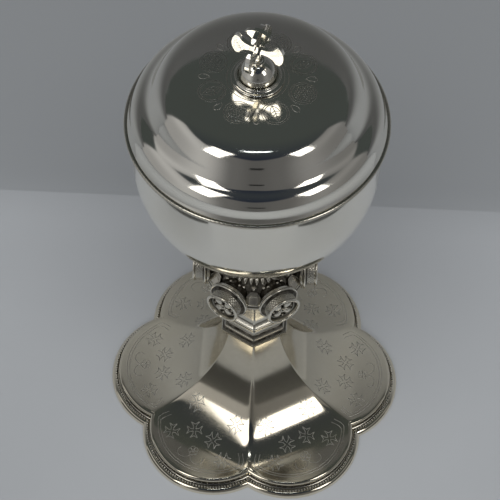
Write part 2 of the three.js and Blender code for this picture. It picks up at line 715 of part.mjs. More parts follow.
// One flat cross with axe-shaped arms on a straight stem, in the XY plane
function crossShape() {
  const shape = new THREE.Shape();
  const stemEnd = -CROSS_CENTRE_HEIGHT + SEAT_GAP;
  const bulge = 2 * CROSS_REACH - CROSS_TIP.along;
  shape.moveTo(-CROSS_STEM, stemEnd);
  shape.lineTo(CROSS_STEM, stemEnd);
  shape.lineTo(CROSS_NECK, -CROSS_NECK);
  for (let i = 0; i < 3; i += 1) {
    const turn = (Math.PI / 2) * i;
    const point = (along, across) => [
      along * Math.cos(turn) - across * Math.sin(turn),
      along * Math.sin(turn) + across * Math.cos(turn),
    ];
    const waist = CROSS_WAIST;
    const tip = CROSS_TIP;
    shape.quadraticCurveTo(...point(waist.along, -waist.across), ...point(tip.along, -tip.across));
    shape.quadraticCurveTo(...point(bulge, 0), ...point(tip.along, tip.across));
    shape.quadraticCurveTo(...point(waist.along, waist.across), ...point(CROSS_NECK, CROSS_NECK));
  }
  shape.closePath();
  return shape;
}

function finialCross() {
  const plates = [0, 90].map((degrees) => {
    const plate = new THREE.ExtrudeGeometry(crossShape(), {
      depth: CROSS_THICKNESS,
      bevelEnabled: false,
      curveSegments: 5,
    });
    plate.translate(0, 0, -CROSS_THICKNESS / 2);
    plate.rotateX(Math.PI / 2);
    plate.rotateZ(THREE.MathUtils.degToRad(degrees));
    return plate;
  });
  return joined(plates);
}

function finialStud() {
  const base = LID_WASHER_BASE - SEAT_GAP - STUD_TAIL;
  return turned([
    [0, base],
    [STUD_RADIUS, base],
    [STUD_RADIUS, BALL_TOP - SEAT_GAP / 2],
    [0, BALL_TOP - SEAT_GAP / 2],
  ], 12);
}

const ciborium = new THREE.Group();

// Foot
const foot = new THREE.Group();
ciborium.add(foot);
piece('foot_flange', footFlange(), polished, foot);
piece('foot_gallery', footGallery(), cast, foot);
piece('foot_wire', footWire(), cast, foot);
piece('foot_shell', footShell(), polished, foot);

// Stem and knop
const stem = new THREE.Group();
ciborium.add(stem);
piece('lower_collar', lowerCollar(), cast, stem);
piece('stem_neck', stemNeck(), cast, stem);
piece('knop_body', knopBody(), cast, stem);
for (let i = 0; i < LOBES; i += 1) {
  const place = new THREE.Group();
  const degrees = -60 + 60 * i;
  const back = KNOP_APOTHEM + SEAT_GAP;
  stem.add(place);
  piece(`boss_${i + 1}`, facingAway(boss(), degrees, back, KNOP_MIDDLE), cast, place);
  const floor = back + BOSS_LENGTH - BOSS_RECESS + SEAT_GAP;
  piece(`boss_plaque_${i + 1}`, facingAway(plaque(), degrees, floor, KNOP_MIDDLE), cast, place);
}

// Bowl and what holds it down
const cup = new THREE.Group();
ciborium.add(cup);
piece('bowl_seat', bowlSeat(), cast, cup);
piece('bowl', bowl(), polished, cup);
piece('tie_rod', tieRod(), brass, cup);
piece('tie_washer', plainRing(BORE, WASHER_RADIUS, WASHER_BASE, WASHER_HEIGHT), brass, cup);
piece('tie_nut', plainRing(BORE / cornerToFace, NUT_CORNER, NUT_BASE, NUT_HEIGHT, 6), brass, cup);

// Lid, which lifts straight off
const lid = new THREE.Group();
ciborium.add(lid);
piece('lid_shell', lidShell(), polished, lid);
piece('lid_rim_wire', lidRimWire(), cast, lid);
piece('lid_sleeve', lidSleeve(), polished, lid);
piece('finial_collar', finialCollar(), polished, lid);
piece('finial_ball', finialBall(), polished, lid);
const cross = piece('finial_cross', finialCross(), polished, lid);
cross.position.z = BALL_TOP + CROSS_CENTRE_HEIGHT;
cross.rotation.z = THREE.MathUtils.degToRad(LID_TURN);
piece('finial_stud', finialStud(), brass, lid);
const lidWasher = plainRing(STUD_BORE, LID_WASHER_RADIUS, LID_WASHER_BASE, LID_WASHER_HEIGHT);
piece('finial_washer', lidWasher, brass, lid);
const lidNut = plainRing(STUD_BORE / cornerToFace, LID_NUT_CORNER, LID_NUT_BASE, LID_NUT_HEIGHT, 6);
piece('finial_nut', lidNut, brass, lid);

export default ciborium;
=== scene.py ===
"""Silver ciborium: raised, turned, cast and engraved pieces dressed over the fixed frame.

Lengths inside the shape functions are millimetres, as a silversmith would gauge them,
and become metres when a mesh is made. +Z is up and the foot stands on Z = 0.
"""

import math

import bmesh
import bpy
import numpy as np
from bpy.props import FloatProperty, FloatVectorProperty, IntProperty, PointerProperty
from mathutils import Matrix, Vector


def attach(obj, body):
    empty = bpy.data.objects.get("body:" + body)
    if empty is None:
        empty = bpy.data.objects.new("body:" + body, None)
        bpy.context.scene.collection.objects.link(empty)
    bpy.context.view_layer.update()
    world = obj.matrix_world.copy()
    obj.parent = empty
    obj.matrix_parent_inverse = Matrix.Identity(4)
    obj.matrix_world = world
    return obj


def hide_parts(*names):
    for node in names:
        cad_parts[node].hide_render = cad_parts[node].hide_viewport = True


bl_info = {
    "name": "Silver Ciborium",
    "version": (1, 0, 0),
    "blender": (4, 5, 0),
    "location": "View3D > Sidebar > Ciborium",
    "description": "Covered silver cup with a lobed foot, a knop of bosses and a cross on the lid",
    "category": "Object",
}

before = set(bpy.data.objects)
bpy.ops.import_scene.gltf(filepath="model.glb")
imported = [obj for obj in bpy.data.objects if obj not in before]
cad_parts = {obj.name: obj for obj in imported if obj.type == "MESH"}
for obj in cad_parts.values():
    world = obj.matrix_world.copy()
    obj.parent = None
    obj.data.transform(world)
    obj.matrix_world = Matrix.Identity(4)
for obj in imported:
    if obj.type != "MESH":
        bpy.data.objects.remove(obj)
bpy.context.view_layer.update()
MM = 0.001

# Plan of the foot
LOBES = 6
LOBE_MIDDLES = [math.radians(-60 + 60 * i) for i in range(LOBES)]
ARRISES = [math.radians(-90 + 60 * i) for i in range(LOBES)]
HALF_LOBE = math.pi / LOBES
COS_HALF = math.cos(HALF_LOBE)
LOBE_CENTRE_RADIUS = 35.7

# Skin of the spire and lobes, as corner radius and height along an arris
SHELL_LOBE_RADIUS = 30.95
SHELL_WALL = 1.2
SHELL_EDGE_HEIGHT = 7.7
SHELL_SKIRT_BASE = 5.6
NOTCH_RISE = 0.5
ROLL_WIDTH = 1.5
ROLL_DROP = 1.1
LOBE_FLATNESS = 7.0
SPIRE_TOP = 56.0
SPIRE_TOP_CORNER = 13.6
SPIRE_STEEP = (16.8, 27.0)
SPIRE_SPREAD = (34.0, 12.0)
ARRIS_ROUND_TOP = 0.35
ARRIS_ROUND_NOTCH = 1.6
ARRIS_ROUND_FROM = 14.0
ARRIS_ROUND_OVER = 30.0
# Heights over which the skin is coloured darker up the spire
DARKER_FROM_HEIGHT = 12.0
DARKER_OVER_HEIGHT = 16.0

# Foot edge
FLANGE_LOBE_RADIUS = 34.65
FLANGE_HEIGHT = 3.0
FLANGE_WIDTH = 6.0
GALLERY_LOBE_RADIUS = 31.3
GALLERY_BASE = 3.3
GALLERY_ARCH = (0.36, 0.95, 0.42)
WIRE_LOBE_RADIUS = 32.25
WIRE_RADIUS = 0.65
WIRE_CORE_RADIUS = WIRE_RADIUS * 0.62
WIRE_HEIGHT = FLANGE_HEIGHT + 0.3 + WIRE_RADIUS

# Engraving of the lobes: distances along a lobe's middle line and aside of it
BORDER_GAP = 1.2
CROSS_PLACES = ((50.4, 14.6), (44.6, 5.3), (33.8, 11.2))
FLOWER_PLACE = 53.6
FLOWER_PETALS = 5

# Heights up the axis, and the main radii
COLLAR_BASE = 56.3
NECK_BASE = 64.3
KNOP_BASE = 82.3
KNOP_MIDDLE = 99.44
KNOP_TOP = 112.9
SEAT_BASE = 113.2
BOWL_CENTRE = 180.0
BOWL_RIM = 201.2
RIM_PLANE = 202.5
CROWN = 228.4
BALL_BASE = 228.7
BALL_CENTRE = 230.7
CROSS_CENTRE = 244.6
BORE = 3.3
KNOP_APOTHEM = 21.3
BOWL_RADIUS = 50.5
BOWL_WALL = 1.4
LID_RADIUS = 53.0
LID_WIRE_RADIUS = 1.0
LID_WALL = 1.2
BALL_RADIUS = 7.4
STUD_BORE = 1.8
LID_TURN = math.radians(-21.3)

# Upper half of the knop: sloping faces, then beads and gadroons on the shoulder
SLOPE_FOOT = KNOP_MIDDLE - 1
SHOULDER = KNOP_TOP - 4.4
SHOULDER_RADIUS = 13.0
GADROON_CIRCLE = 13.7
GADROON_HALVES = (1.0, 2.7, 1.3)
BEAD_CIRCLE = 16.7
BEAD_HEIGHT = KNOP_TOP - 7.1
BEAD_RADIUS = 0.75

# Rise and run of what leans: the knop's gadroons inwards, the seat's leaves outwards
LEAN_RISE = 0.62
LEAN_RUN = 0.78

# Bosses, with heights from the face that sits on the knop
BOSS_BACK = 21.6
BOSS_RIBS = 30
DIAPER_BASE = 1.7
DIAPER_PITCH = 1.5
DIAPER_DEPTH = 0.02
PEARLS = 36
PEARL_RADIUS = 0.3
PEARL_CIRCLE = 6.85
PEARL_HEIGHT = 5.95
PLAQUE_FLOOR = 4.0
PETALS = 4
BUD_PLACE = 4.3

# Seat under the bowl and sleeve of the lid
SEAT_RADIUS = 20.0
SEAT_TOP = 127.0
SEAT_SPIGOT = 7.1
SEAT_LEAVES = 12
LEAF_CIRCLE = 14.6
LEAF_DROP = 4.4
LEAF_HALVES = (2.2, 4.2, 0.8)
SLEEVE_WALL = 1.1
SLEEVE_DEPTH = 7.3
SLEEVE_CLEARANCE = 0.4
REST_CLEARANCE = 0.3

# Engraving of the lid
ROUNDELS = 8
CROWN_LINE_RADIUS = 12.0
SCALE_REACH = 3

# Cross of the finial, from its middle
CROSS_STEM = 1.2
CROSS_REACH = 10.6
CROSS_FOOT = 6.3
EDGE_SOFTENING = 0.3


class CiboriumFinishes(bpy.types.PropertyGroup):
    """Colours and polish of the metals."""

    polished: FloatVectorProperty(
        name="Polished silver", description="Colour of the raised and polished sheet",
        default=(0.92, 0.90, 0.845), subtype="COLOR", min=0, max=1)
    cast: FloatVectorProperty(
        name="Cast silver", description="Colour of the cast and chased pieces",
        default=(0.80, 0.77, 0.69), subtype="COLOR", min=0, max=1)
    # Colour laid in recesses, both for sulphide and as painted shade
    tarnish_and_shade: FloatVectorProperty(
        name="Tarnish", description="Colour of the sulphide left in recesses",
        default=(0.040, 0.034, 0.026), subtype="COLOR", min=0, max=1)
    brass: FloatVectorProperty(
        name="Brass", description="Colour of the rods, washers and nuts",
        default=(0.62, 0.47, 0.22), subtype="COLOR", min=0, max=1)
    polish: FloatProperty(
        name="Polish", description="Roughness of the brightest silver",
        default=0.075, min=0.01, max=0.5, subtype="FACTOR")
    wear: FloatProperty(
        name="Wear", description="Roughness added where cloths and fingers have rubbed",
        default=0.10, min=0, max=0.5, subtype="FACTOR")


class CiboriumSizes(bpy.types.PropertyGroup):
    """Sizes of the ornament, in metres."""

    line_width: FloatProperty(
        name="Engraved line", description="Width of an engraved line",
        default=0.00034, min=0.0001, max=0.002, subtype="DISTANCE", unit="LENGTH")
    line_depth: FloatProperty(
        name="Burr height", description="Height of the burr beside an engraved line",
        default=0.00005, min=0, max=0.0005, subtype="DISTANCE", unit="LENGTH")
    border_inset: FloatProperty(
        name="Border inset", description="From the edge of a lobe to its engraved border",
        default=0.0040, min=0.001, max=0.01, subtype="DISTANCE", unit="LENGTH")
    small_cross: FloatProperty(
        name="Engraved cross", description="Width of a small cross on the foot",
        default=0.0076, min=0.002, max=0.01, subtype="DISTANCE", unit="LENGTH")
    roundel_radius: FloatProperty(
        name="Roundel", description="Radius of a roundel engraved on the lid",
        default=0.0053, min=0.002, max=0.008, subtype="DISTANCE", unit="LENGTH")
    roundel_reach: FloatProperty(
        name="Roundel reach", description="From the axis to the middle of a roundel",
        default=0.0188, min=0.01, max=0.03, subtype="DISTANCE", unit="LENGTH")
    wire_beads: IntProperty(
        name="Wire beads", description="Beads on the foot's milled wire along one lobe",
        default=52, min=8, max=120)
    gallery_arches: IntProperty(
        name="Gallery arches", description="Arches of the gallery along one lobe",
        default=26, min=6, max=60)
    gadroons: IntProperty(
        name="Gadroons", description="Gadroons round the shoulder of the knop",
        default=36, min=12, max=72)
    plate_thickness: FloatProperty(
        name="Cross plate", description="Thickness of the plates of the finial cross",
        default=0.0017, min=0.0005, max=0.004, subtype="DISTANCE", unit="LENGTH")


class CiboriumStage(bpy.types.PropertyGroup):
    """The paper under the cup, the card behind it and the light."""

    table: FloatVectorProperty(
        name="Paper", description="Colour of the paper on the table",
        default=(0.336, 0.349, 0.364), subtype="COLOR", min=0, max=1)
    # Behind this line the table is coloured darker, and the card stands on it
    paper_join: FloatProperty(
        name="Paper join", description="From the axis back to the darker paper and the card",
        default=0.108, min=0.08, max=2, subtype="DISTANCE", unit="LENGTH")
    card_height: FloatProperty(
        name="Card height", description="Height of the card that the silver reflects from behind",
        default=0.33, min=0.2, max=2, subtype="DISTANCE", unit="LENGTH")
    window_light: FloatProperty(
        name="Window light", description="Radiance of the left window, which the lamps in front follow",
        default=2.1, min=0, max=30)
    ceiling_light: FloatProperty(
        name="Ceiling light", description="Radiance of the bounce that lifts the table",
        default=4.8, min=0, max=10)


def looks(context):
    """The finishes, the sizes and the stage that the user has set."""
    scene = context.scene
    return scene.ciborium_finishes, scene.ciborium_sizes, scene.ciborium_stage


# Curves and outlines

def bezier(start, near_start, near_end, end, steps):
    """Curve from start to end that is drawn towards two points between them."""
    t = np.linspace(0.0, 1.0, steps + 1)[:, None]
    a, b, c, d = (np.array(p, float) for p in (start, near_start, near_end, end))
    return (1 - t) ** 3 * a + 3 * (1 - t) ** 2 * t * b + 3 * (1 - t) * t ** 2 * c + t ** 3 * d


def arc(radius, height, size, start, end, steps):
    """Arc in the radius-height plane, in degrees from the outward direction."""
    angles = np.radians(np.linspace(start, end, steps + 1))
    return np.column_stack([radius + size * np.cos(angles), height + size * np.sin(angles)])


def joined_path(*parts):
    """Curves end to end, without repeated points."""
    points = []
    for part in parts:
        for point in np.atleast_2d(np.array(part, float)):
            if not points or np.linalg.norm(point - points[-1]) > 1e-5:
                points.append(point)
    return np.array(points)


def eased(values):
    """Values from 0 to 1 with a soft start and a soft end."""
    return values * values * (3 - 2 * values)


# Building meshes

class Shape:
    """Points in millimetres, each with a darkness for sulphide and painted shade, and the faces between
    them.
    """

    def __init__(self):
        self.points = []
        self.faces = []
        self.tarnish_and_shade = []
        self.count = 0

    def skin(self, rows, closed, rounded, tarnish_and_shade):
        """Faces between rows of points; rounded rows close on themselves."""
        lines, across = rows.shape[:2]
        for line in range(lines if closed else lines - 1):
            here = self.count + line * across
            there = self.count + ((line + 1) % lines) * across
            for i in range(across if rounded else across - 1):
                j = (i + 1) % across
                self.faces.append((here + i, here + j, there + j, there + i))
        self.points.append(rows.reshape(-1, 3))
        self.tarnish_and_shade.append(np.broadcast_to(tarnish_and_shade, lines * across))
        self.count += lines * across

    def loft(self, rings, closed=False, tarnish_and_shade=0.0):
        """Skin between rings of equal length, with a darkness for sulphide and painted shade for all, for
        each ring or for each point.
        """
        rings = np.asarray(rings, float)
        if np.size(tarnish_and_shade) == len(rings):
            tarnish_and_shade = np.repeat(tarnish_and_shade, rings.shape[1])
        self.skin(rings, closed, True, tarnish_and_shade)

    def strip(self, rows, closed, tarnish_and_shade):
        """Skin between rows of points that don't close on themselves, with a darkness for sulphide and
        painted shade across a row.
        """
        self.skin(rows, closed, False, np.tile(tarnish_and_shade, len(rows)))


def make_piece(name, shape, material, body, replaces=(), crease=35, closed=True):
    """A finished piece from a shape, fixed to its body in the frame."""
    mesh = bpy.data.meshes.new(name)
    mesh.from_pydata((np.concatenate(shape.points) * MM).tolist(), [], shape.faces)
    # Darkness for each point: sulphide in recesses together with painted shade
    recess = mesh.attributes.new("tarnish_and_shade", "FLOAT", "POINT")
    recess.data.foreach_set("value", np.concatenate(shape.tarnish_and_shade).astype(np.float32))
    work = bmesh.new()
    work.from_mesh(mesh)
    bmesh.ops.remove_doubles(work, verts=work.verts, dist=1e-7)
    if closed:
        bmesh.ops.recalc_face_normals(work, faces=work.faces)
    work.to_mesh(mesh)
    work.free()
    mesh.shade_smooth()
    mesh.set_sharp_from_angle(angle=math.radians(crease))
    mesh.materials.append(material)
    piece = bpy.data.objects.new(name, mesh)
    bpy.context.scene.collection.objects.link(piece)
    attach(piece, body)
    if replaces:
        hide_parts(*replaces)


def circle_angles(sides):
    return np.linspace(0, 2 * math.pi, sides, endpoint=False)


def turned_rings(profile, sides):
    """Rings of a turned profile of (radius, height)."""
    profile = np.asarray(profile, float)
    return np.array([ring_points(circle_angles(sides), radius, height) for radius, height in profile])


def ball(shape, centre, radii, axes, tarnish_and_shade, sides, rows):
    """An egg about a centre, with its half lengths along the given axes, or the main ones for None."""
    axes = np.eye(3) if axes is None else np.asarray(axes, float)
    up = np.linspace(-math.pi / 2, math.pi / 2, rows + 1)
    unit = turned_rings(np.column_stack([np.cos(up), np.sin(up)]), sides)
    shape.loft((unit * np.asarray(radii)) @ axes + np.asarray(centre), tarnish_and_shade=tarnish_and_shade)


def outward(azimuth):
    """Axes of a face that looks away from the stem: to its right, up, and outwards."""
    return np.array([
        [-math.sin(azimuth), math.cos(azimuth), 0],
        [0, 0, 1],
        [math.cos(azimuth), math.sin(azimuth), 0],
    ])


# Plan and skin of the foot

def lobe_angles(steps):
    """Angles either side of a lobe's middle, closer together towards the arrises."""
    t = np.linspace(-1, 1, steps, endpoint=False)
    return HALF_LOBE * (1.5 * t - 0.5 * t ** 3)


def plan_angles(steps):
    return np.concatenate([middle + lobe_angles(steps) for middle in LOBE_MIDDLES])


def lobed_radius(angles, lobe_radius):
    """Distance from the axis to the lobed outline."""
    from_middle = np.abs((angles + math.pi / 2) % (2 * HALF_LOBE) - HALF_LOBE)
    across = LOBE_CENTRE_RADIUS * np.sin(from_middle)
    return LOBE_CENTRE_RADIUS * np.cos(from_middle) + np.sqrt(lobe_radius ** 2 - across ** 2)


def nearest_faces(x, y):
    """Distances from the axis measured square to the nearest and the second face of a hexagon."""
    distances = np.stack([x * math.cos(a) + y * math.sin(a) for a in LOBE_MIDDLES])
    distances.sort(axis=0)
    return distances[-1], distances[-2]


def smooth_greater(first, second, rounding):
    """The greater of two values, eased where they are nearly the same."""
    return (first + second) / 2 + np.sqrt((first - second) ** 2 + rounding ** 2) / 2


def face_distance(x, y):
    """Distance measured square to the nearest face of the spire, eased across an arris."""
    first, second = nearest_faces(x, y)
    spread = eased(np.clip((first - ARRIS_ROUND_FROM) / ARRIS_ROUND_OVER, 0, 1))
    rounding = ARRIS_ROUND_TOP + (ARRIS_ROUND_NOTCH - ARRIS_ROUND_TOP) * spread
    return smooth_greater(first, second, rounding)


NOTCH_CORNER = float(lobed_radius(np.array([ARRISES[0]]), SHELL_LOBE_RADIUS)[0])
NOTCH_FACE = NOTCH_CORNER * COS_HALF
LOBE_REACH = LOBE_CENTRE_RADIUS + SHELL_LOBE_RADIUS


def arris_curve(steps):
    """Line of an arris from the top of the spire to a notch, as (corner radius, height)."""
    notch = (NOTCH_CORNER, SHELL_EDGE_HEIGHT + NOTCH_RISE)
    return bezier((SPIRE_TOP_CORNER, SPIRE_TOP), SPIRE_STEEP, SPIRE_SPREAD, notch, steps)


ARRIS = arris_curve(600)


def skin_height(face):
    """Height of the polished skin at a distance from the axis."""
    on_spire = np.interp(face / COS_HALF, ARRIS[:, 0], ARRIS[:, 1])
    left = np.clip((LOBE_REACH - face) / (LOBE_REACH - NOTCH_FACE), 0, 1)
    on_lobe = SHELL_EDGE_HEIGHT + NOTCH_RISE * left ** LOBE_FLATNESS
    return np.where(face < NOTCH_FACE, on_spire, on_lobe)


def foot_surface(x, y):
    return skin_height(face_distance(x, y))


def ring_at_face(angles, face):
    """Radius at each angle where the skin is a given face distance from the axis."""
    radius = np.full(len(angles), float(face))
    for _ in range(12):
        radius *= face / face_distance(radius * np.cos(angles), radius * np.sin(angles))
    return radius


def ring_points(angles, radius, height):
    """Points round the axis; radius and height are one value or one for each angle."""
    height = np.broadcast_to(height, angles.shape)
    return np.column_stack([radius * np.cos(angles), radius * np.sin(angles), height])


def lobed_rings(section, steps):
    """Rings of a moulding round the lobes, from its section of (lobe radius, height)."""
    angles = plan_angles(steps)
    return np.array([ring_points(angles, lobed_radius(angles, r), z) for r, z in section])


# Surfaces of the lid

def heading(degrees):
    """One step in a direction, 0 outwards and 90 up."""
    return np.array([math.cos(math.radians(degrees)), math.sin(math.radians(degrees))])


def sweep(start, leaves, end, arrives, pulls, steps):
    """Curve that leaves and arrives at given headings in degrees."""
    start, end = np.array(start, float), np.array(end, float)
    length = np.linalg.norm(end - start)
    return bezier(start, start + heading(leaves) * pulls[0] * length,
                  end - heading(arrives) * pulls[1] * length, end, steps)


def lid_profile(steps):
    """Outside of the lid from the crown to the skirt: dome, hollow, shelf and shoulder."""
    hollow, hollow_slope = (LID_RADIUS - 11.8, RIM_PLANE + 15.9), -65
    shelf, shelf_slope = (LID_RADIUS - 7.6, RIM_PLANE + 10.9), -28
    shoulder, shoulder_slope = (LID_RADIUS - 2.9, RIM_PLANE + 5.0), -77
    skirt, skirt_slope = (LID_RADIUS - 1.4, RIM_PLANE + 1.3), -62
    return joined_path(
        sweep((STUD_BORE, CROWN), 0, hollow, hollow_slope, (0.805, 0.263), 28 * steps),
        sweep(hollow, hollow_slope, shelf, shelf_slope, (0.53, 0.31), 10 * steps),
        sweep(shelf, shelf_slope, shoulder, shoulder_slope, (0.146, 0.552), 12 * steps),
        sweep(shoulder, shoulder_slope, skirt, skirt_slope, (0.35, 0.35), 5 * steps))


LID_LINE = lid_profile(4)


def lid_surface(x, y):
    return np.interp(np.hypot(x, y), LID_LINE[:, 0], LID_LINE[:, 1])


# Engraving

def engraved_line(shape, path, surface, width, burr, closed=False, dark=1.0):
    """A cut line with its two burrs, laid along a path of (x, y) on a surface."""
    path = np.asarray(path, float)
    if closed:
        ahead = np.roll(path, -1, axis=0) - np.roll(path, 1, axis=0)
    else:
        ahead = np.gradient(path, axis=0)
    ahead /= np.maximum(np.linalg.norm(ahead, axis=1, keepdims=True), 1e-9)
    aside = np.column_stack([-ahead[:, 1], ahead[:, 0]])
    edge_lift, cut_lift = 0.006, 0.008
    shares = (-0.5, -0.25, 0.0, 0.25, 0.5)
    lifts = (edge_lift, burr, cut_lift, burr, edge_lift)
    rows = np.empty((len(path), len(shares), 3))
    for i, (share, lift) in enumerate(zip(shares, lifts)):
        flat = path + aside * share * width
        rows[:, i, :2] = flat
        rows[:, i, 2] = surface(flat[:, 0], flat[:, 1]) + lift
    shape.strip(rows, closed, np.array([0.1, 0.35, 1.0, 0.35, 0.1]) * dark)


def resampled(path, gap, closed=False):
    """The same path with points an even gap apart."""
    path = np.asarray(path, float)
    if closed:
        path = np.vstack([path, path[:1]])
    along = np.concatenate([[0], np.cumsum(np.linalg.norm(np.diff(path, axis=0), axis=1))])
    count = max(int(round(along[-1] / gap)), 4)
    at = np.linspace(0, along[-1], count + (0 if closed else 1), endpoint=not closed)
    return np.column_stack([np.interp(at, along, path[:, i]) for i in range(2)])


def flat_arc(centre, radius, start, end, steps):
    """Arc in plan, in degrees from +X."""
    angles = np.radians(np.linspace(start, end, steps + 1))
    return np.column_stack([centre[0] + radius * np.cos(angles), centre[1] + radius * np.sin(angles)])


def moved(path, turn, x, y):
    """A flat path turned about the origin, then shifted."""
    c, s = math.cos(turn), math.sin(turn)
    path = np.asarray(path, float)
    return np.column_stack([x + path[:, 0] * c - path[:, 1] * s, y + path[:, 0] * s + path[:, 1] * c])


def small_cross_outline(width):
    """Outline of a little cross whose four arms widen into fishtails."""
    arm = np.array([
        (0.07, -0.07), (0.26, -0.09), (0.50, -0.25), (0.37, 0.0), (0.50, 0.25), (0.26, 0.09)]) * width
    return np.vstack([moved(arm, math.pi / 2 * i, 0, 0) for i in range(4)])


# Finishes

def feed(tree, socket, value):
    """Set a socket to a number or a colour, or link it to the output that drives it."""
    if isinstance(value, bpy.types.NodeSocket):
        tree.links.new(value, socket)
    else:
        socket.default_value = value


def add_node(tree, kind, **inputs):
    """A node with its inputs set or fed by name, a space in a name written as an underscore."""
    node = tree.nodes.new(kind)
    for key, value in inputs.items():
        feed(tree, node.inputs[key.replace("_", " ")], value)
    return node


def noise(tree, place, scale, detail, roughness):
    """Cloudy mottle from 0 to 1."""
    node = add_node(
        tree, "ShaderNodeTexNoise", Vector=place, Scale=scale, Detail=detail, Roughness=roughness)
    return node.outputs["Fac"]


def worked_out(tree, operation, *values, clamp=False):
    """Result of one operation on numbers and outputs."""
    node = tree.nodes.new("ShaderNodeMath")
    node.operation = operation
    node.use_clamp = clamp
    for socket, value in zip(node.inputs, values):
        feed(tree, socket, value)
    return node.outputs["Value"]


def ranged(tree, value, start, end, low=0.0, high=1.0, soft=False):
    """A value carried from one range to another, with soft ends where asked."""
    node = add_node(
        tree, "ShaderNodeMapRange", Value=value, From_Min=start, From_Max=end, To_Min=low, To_Max=high)
    if soft:
        node.interpolation_type = "SMOOTHSTEP"
    return node.outputs["Result"]


def blended(tree, factor, first, second):
    """A colour between two colours."""
    node = tree.nodes.new("ShaderNodeMix")
    node.data_type = "RGBA"
    for key, value in (("Factor", factor), ("A", first), ("B", second)):
        feed(tree, node.inputs[key], value)
    return node.outputs["Result"]


def tinted(colour, tint):
    """A colour as it shows through a tint."""
    return tuple(c * t for c, t in zip(colour, tint))


def toned(colour, share):
    """A share of a colour as an opaque one."""
    return (*tinted(colour, (share,) * 3), 1)


def new_material(name):
    """A material with its node tree, its shader and the place of a point on the object."""
    material = bpy.data.materials.new(name)
    material.use_nodes = True
    tree = material.node_tree
    place = tree.nodes.new("ShaderNodeTexCoord").outputs["Object"]
    return material, tree, tree.nodes["Principled BSDF"], place


def silver(name, colour, tarnish_and_shade, polish, wear, grain):
    """Polished metal that is rubbed in patches, scratched by cloths, and dark in its recesses with
    sulphide and painted shade.
    """
    material, tree, shader, place = new_material(name)
    patches = noise(tree, place, scale=38.0, detail=4.0, roughness=0.6)
    speckle = noise(tree, place, scale=520.0, detail=5.0, roughness=0.65)
    stretched = add_node(
        tree, "ShaderNodeMapping", Vector=place, Scale=(1.0, 1.0, 0.12), Rotation=(0.5, 0.3, 0.9))
    scratches = noise(tree, stretched.outputs["Vector"], scale=2600.0, detail=3.0, roughness=0.7)

    # The recess darkness is partly sulphide and partly painted shade
    recess = tree.nodes.new("ShaderNodeAttribute")
    recess.attribute_name = "tarnish_and_shade"
    uneven = ranged(tree, speckle, 0.3, 0.7, low=0.8, high=1.2)
    dark = worked_out(tree, "MULTIPLY", recess.outputs["Fac"], uneven, clamp=True)
    yellowed = tinted(colour, (0.94, 0.92, 0.86))
    tone = blended(tree, patches, (*colour, 1), (*yellowed, 1))
    stained_and_shaded = blended(tree, dark, tone, (*tarnish_and_shade, 1))

    rubbed = ranged(tree, patches, 0.35, 0.75, low=polish, high=polish + wear)
    tarnish_dulling, scratch_depth = 0.38, 0.00004
    dulled = worked_out(tree, "MULTIPLY_ADD", dark, tarnish_dulling, rubbed)
    relief = add_node(tree, "ShaderNodeBump", Strength=grain, Distance=scratch_depth, Height=scratches)
    feed(tree, shader.inputs["Metallic"], 1.0)
    feed(tree, shader.inputs["Base Color"], stained_and_shaded)
    feed(tree, shader.inputs["Roughness"], dulled)
    feed(tree, shader.inputs["Normal"], relief.outputs["Normal"])
    return material


def finish_named(name, finishes):
    """The finish of that name, made when it is first asked for."""
    found = bpy.data.materials.get(name)
    if found:
        return found
    polished, cast, tarnish_and_shade = (tuple(c) for c in (finishes.polished, finishes.cast, finishes.tarnish_and_shade))
    warm = tinted(polished, (0.97, 0.925, 0.83))
    recipes = {
        "foot silver": (warm, tarnish_and_shade, finishes.polish * 0.75, finishes.wear * 0.4, 0.10),
        "polished silver": (polished, tarnish_and_shade, finishes.polish, finishes.wear * 0.5, 0.10),
        "engraved silver": (polished, (0.20, 0.185, 0.16), 0.30, 0.15, 0.10),
        "cast silver": (cast, tarnish_and_shade, 0.14, finishes.wear, 0.35),
        "milled silver": (cast, tarnish_and_shade, 0.11, finishes.wear, 0.2),
        "finial silver": (polished, tarnish_and_shade, finishes.polish + 0.01, finishes.wear * 0.5, 0.12),
        "turned brass": (tuple(finishes.brass), (0.10, 0.07, 0.03), 0.28, finishes.wear, 0.3),
    }
    return silver(name, *recipes[name])


# Foot

def rolled_edge():
    """Steps over the rounded edge of the sheet, as (inset from the outline, drop)."""
    turn = np.linspace(0, math.pi / 2, 9)
    return np.column_stack([ROLL_WIDTH * (1 - np.sin(turn)), ROLL_DROP * (1 - np.cos(turn))])


def draped_ring(angles, radius, below=0.0):
    """Ring at the given radii that lies on the skin, or a little below it."""
    height = foot_surface(radius * np.cos(angles), radius * np.sin(angles)) - below
    return ring_points(angles, radius, height)


